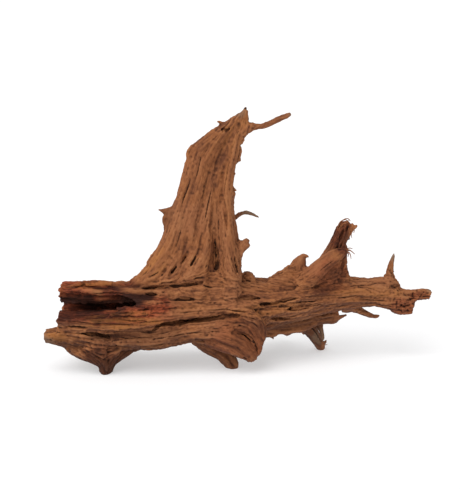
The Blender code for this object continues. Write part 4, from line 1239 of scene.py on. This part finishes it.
def wood_material():
    """Old wood: its browns by streak and place, its dirt and painted shade, and the fine grain as
    bump.
    """
    shades = Shades("driftwood")
    mix, ramp, stored = shades.mix, shades.ramp, shades.stored

    def times(first, second):
        return shades.math("MULTIPLY", first, second)

    fine = grain_noise(shades)
    strength = ramp(stored("coarse"), *GRAIN_BY_COARSE)
    swing = times(shades.math("SUBTRACT", fine, GRAIN_MEAN), times(strength, GRAIN_GAIN))
    tone = shades.math("ADD", stored("tone"), swing)
    colour = ramp(tone, *STREAKS)
    colour = mix(times(stored("patch"), PINK_SHARE), colour, PINK_BROWN)
    # The underside darker: partly its own colour, partly painted shade.
    colour = mix(times(stored("underneath"), UNDER_SHARE), colour, UNDERSIDE_AND_SHADE)
    # Ridges lighter by wear and a painted highlight.
    colour = mix(ramp(stored("valley"), *WEAR_AND_HIGHLIGHT_BY_VALLEY), colour, LIGHT_STREAK)
    colour = mix(times(stored("rot"), ROT_SHARE), colour, ramp(tone, *ROT))
    colour = mix(times(stored("gold"), GOLD_SHARE), colour, GOLD_BROWN)
    # Painted shade in the hollows, under the trunk and at the feet.
    colour = mix(times(stored("stain"), SHADE_SHARE), colour, SHADE_BROWN)
    colour = mix(stored("bleach"), colour, BLEACHED_GREY)
    # Dirt and painted shade darken the hollows.
    colour = mix(ramp(stored("valley"), *DIRT_AND_SHADE_BY_VALLEY), colour, DIRT_AND_SHADE)
    # Painted shade of fine cracks: dark dashes along the grain, more in the valleys.
    dashes = times(ramp(fine, *SHADE_DASHES_BY_GRAIN), strength)
    dashes = times(dashes, ramp(stored("valley"), *SHADE_DASHES_BY_VALLEY))
    shades.fill(shades.surface.inputs["Base Color"], mix(dashes, colour, DIRT_AND_SHADE))
    roughness = ramp(stored("valley"), *ROUGHNESS_BY_VALLEY)
    shades.fill(shades.surface.inputs["Roughness"], roughness)
    shades.surface.inputs["Specular IOR Level"].default_value = WOOD_SHINE
    bump = shades.tree.nodes.new("ShaderNodeBump")
    bump.inputs["Strength"].default_value = BUMP_STRENGTH
    bump.inputs["Distance"].default_value = BUMP_HEIGHT
    shades.fill(bump.inputs["Height"], fine)
    shades.fill(shades.surface.inputs["Normal"], bump.outputs["Normal"])
    return shades.material


driftwood = wood_material()
wood.data.materials.clear()
wood.data.materials.append(driftwood)
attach(wood, "root")
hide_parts(NODE)
print("wood material with", len(driftwood.node_tree.nodes), "nodes")

# %% [markdown]
# At the torn crown of the fork, at the end of its front limb and at the back foot hang rootlets.
# Particle hair would be simpler to grow, but it leaves no mesh and goes where it likes. Here each
# is its own tube, between one and two millimetres thick at its root and one or less at its tip.
# Every hair is rooted a little below the wood.

# %% Hair rootlets
# Each is a list of points: x, y, z and the radius there, in millimetres.
HAIRS = [
    [(115, 12, 156, 0.9), (116, 11, 163, 0.8), (119, 10, 168, 0.7), (124, 9, 170, 0.6),
     (128, 9, 167, 0.5)],
    [(117, 14, 157, 0.8), (118, 13, 164, 0.7), (122, 12, 169.5, 0.6), (127, 11, 171, 0.5),
     (130, 10, 168, 0.45)],
    [(116, 9, 156, 0.7), (118, 7, 162, 0.6), (121, 6, 165.5, 0.5), (125, 6, 166, 0.4)],
    [(118, 10, 158, 0.7), (121, 8, 164, 0.6), (125, 7, 168, 0.5), (129, 8, 170.5, 0.35)],
    [(131, 8, 162, 0.7), (131.5, 6, 157, 0.55), (131, 5, 152, 0.45), (132, 5, 148, 0.3)],
    [(128, 7, 160, 0.7), (128.5, 4, 155, 0.5), (128, 3, 150, 0.35)],
    [(134, 9, 161, 0.6), (134.5, 7, 157, 0.5), (134, 7, 154, 0.3)],
    [(122, -5, 135, 0.9), (127, -6, 136.5, 0.75), (131, -7, 134.5, 0.6),
     (134.5, -8, 131.5, 0.35)],
    [(123, -5, 134, 0.9), (127.5, -7, 133.5, 0.7), (129.5, -8, 129.5, 0.5),
     (130, -8, 125.5, 0.3)],
    [(123, -4, 133, 0.8), (127, -5, 131.5, 0.6), (126.5, -5, 127.5, 0.35)],
    [(122, -3, 136, 0.7), (128, -3, 138, 0.55), (132, -2, 137, 0.35)],
    [(99, 28, 14, 0.7), (103, 27, 10, 0.5), (106, 26, 11, 0.3)],
]
HAIR_STEP = 0.001
HAIR_SIDES = 8
HAIR_TONE = 0.4
HAIR_ROT = 0.3
curves = [through(metres(line), HAIR_STEP) for line in HAIRS]
hairs = bpy.data.objects.new("hair_rootlets", tubes_mesh("hair_rootlets", curves, HAIR_SIDES))
bpy.context.scene.collection.objects.link(hairs)
hairs.data.shade_smooth()
hairs.data.materials.append(driftwood)
places = read(hairs.data, "vertices", "co")
direction, nearest = np.zeros_like(places), np.full(len(places), np.inf)
for curve in curves:
    distance, ahead = nearest_on(curve[:, :3], places)
    closer = distance < nearest
    direction[closer], nearest[closer] = ahead[closer], distance[closer]
keep_on(hairs, "tone", np.full(len(places), HAIR_TONE))
keep_on(hairs, "rot", np.full(len(places), HAIR_ROT))
keep_grain(hairs, direction)
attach(hairs, "root")
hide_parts(NODE)
print(len(HAIRS), "hair rootlets of", len(hairs.data.polygons), "faces")

# %% [markdown]
# The looks are meant to leave the root's size as it was. The solid's box from the start is
# printed near the top.
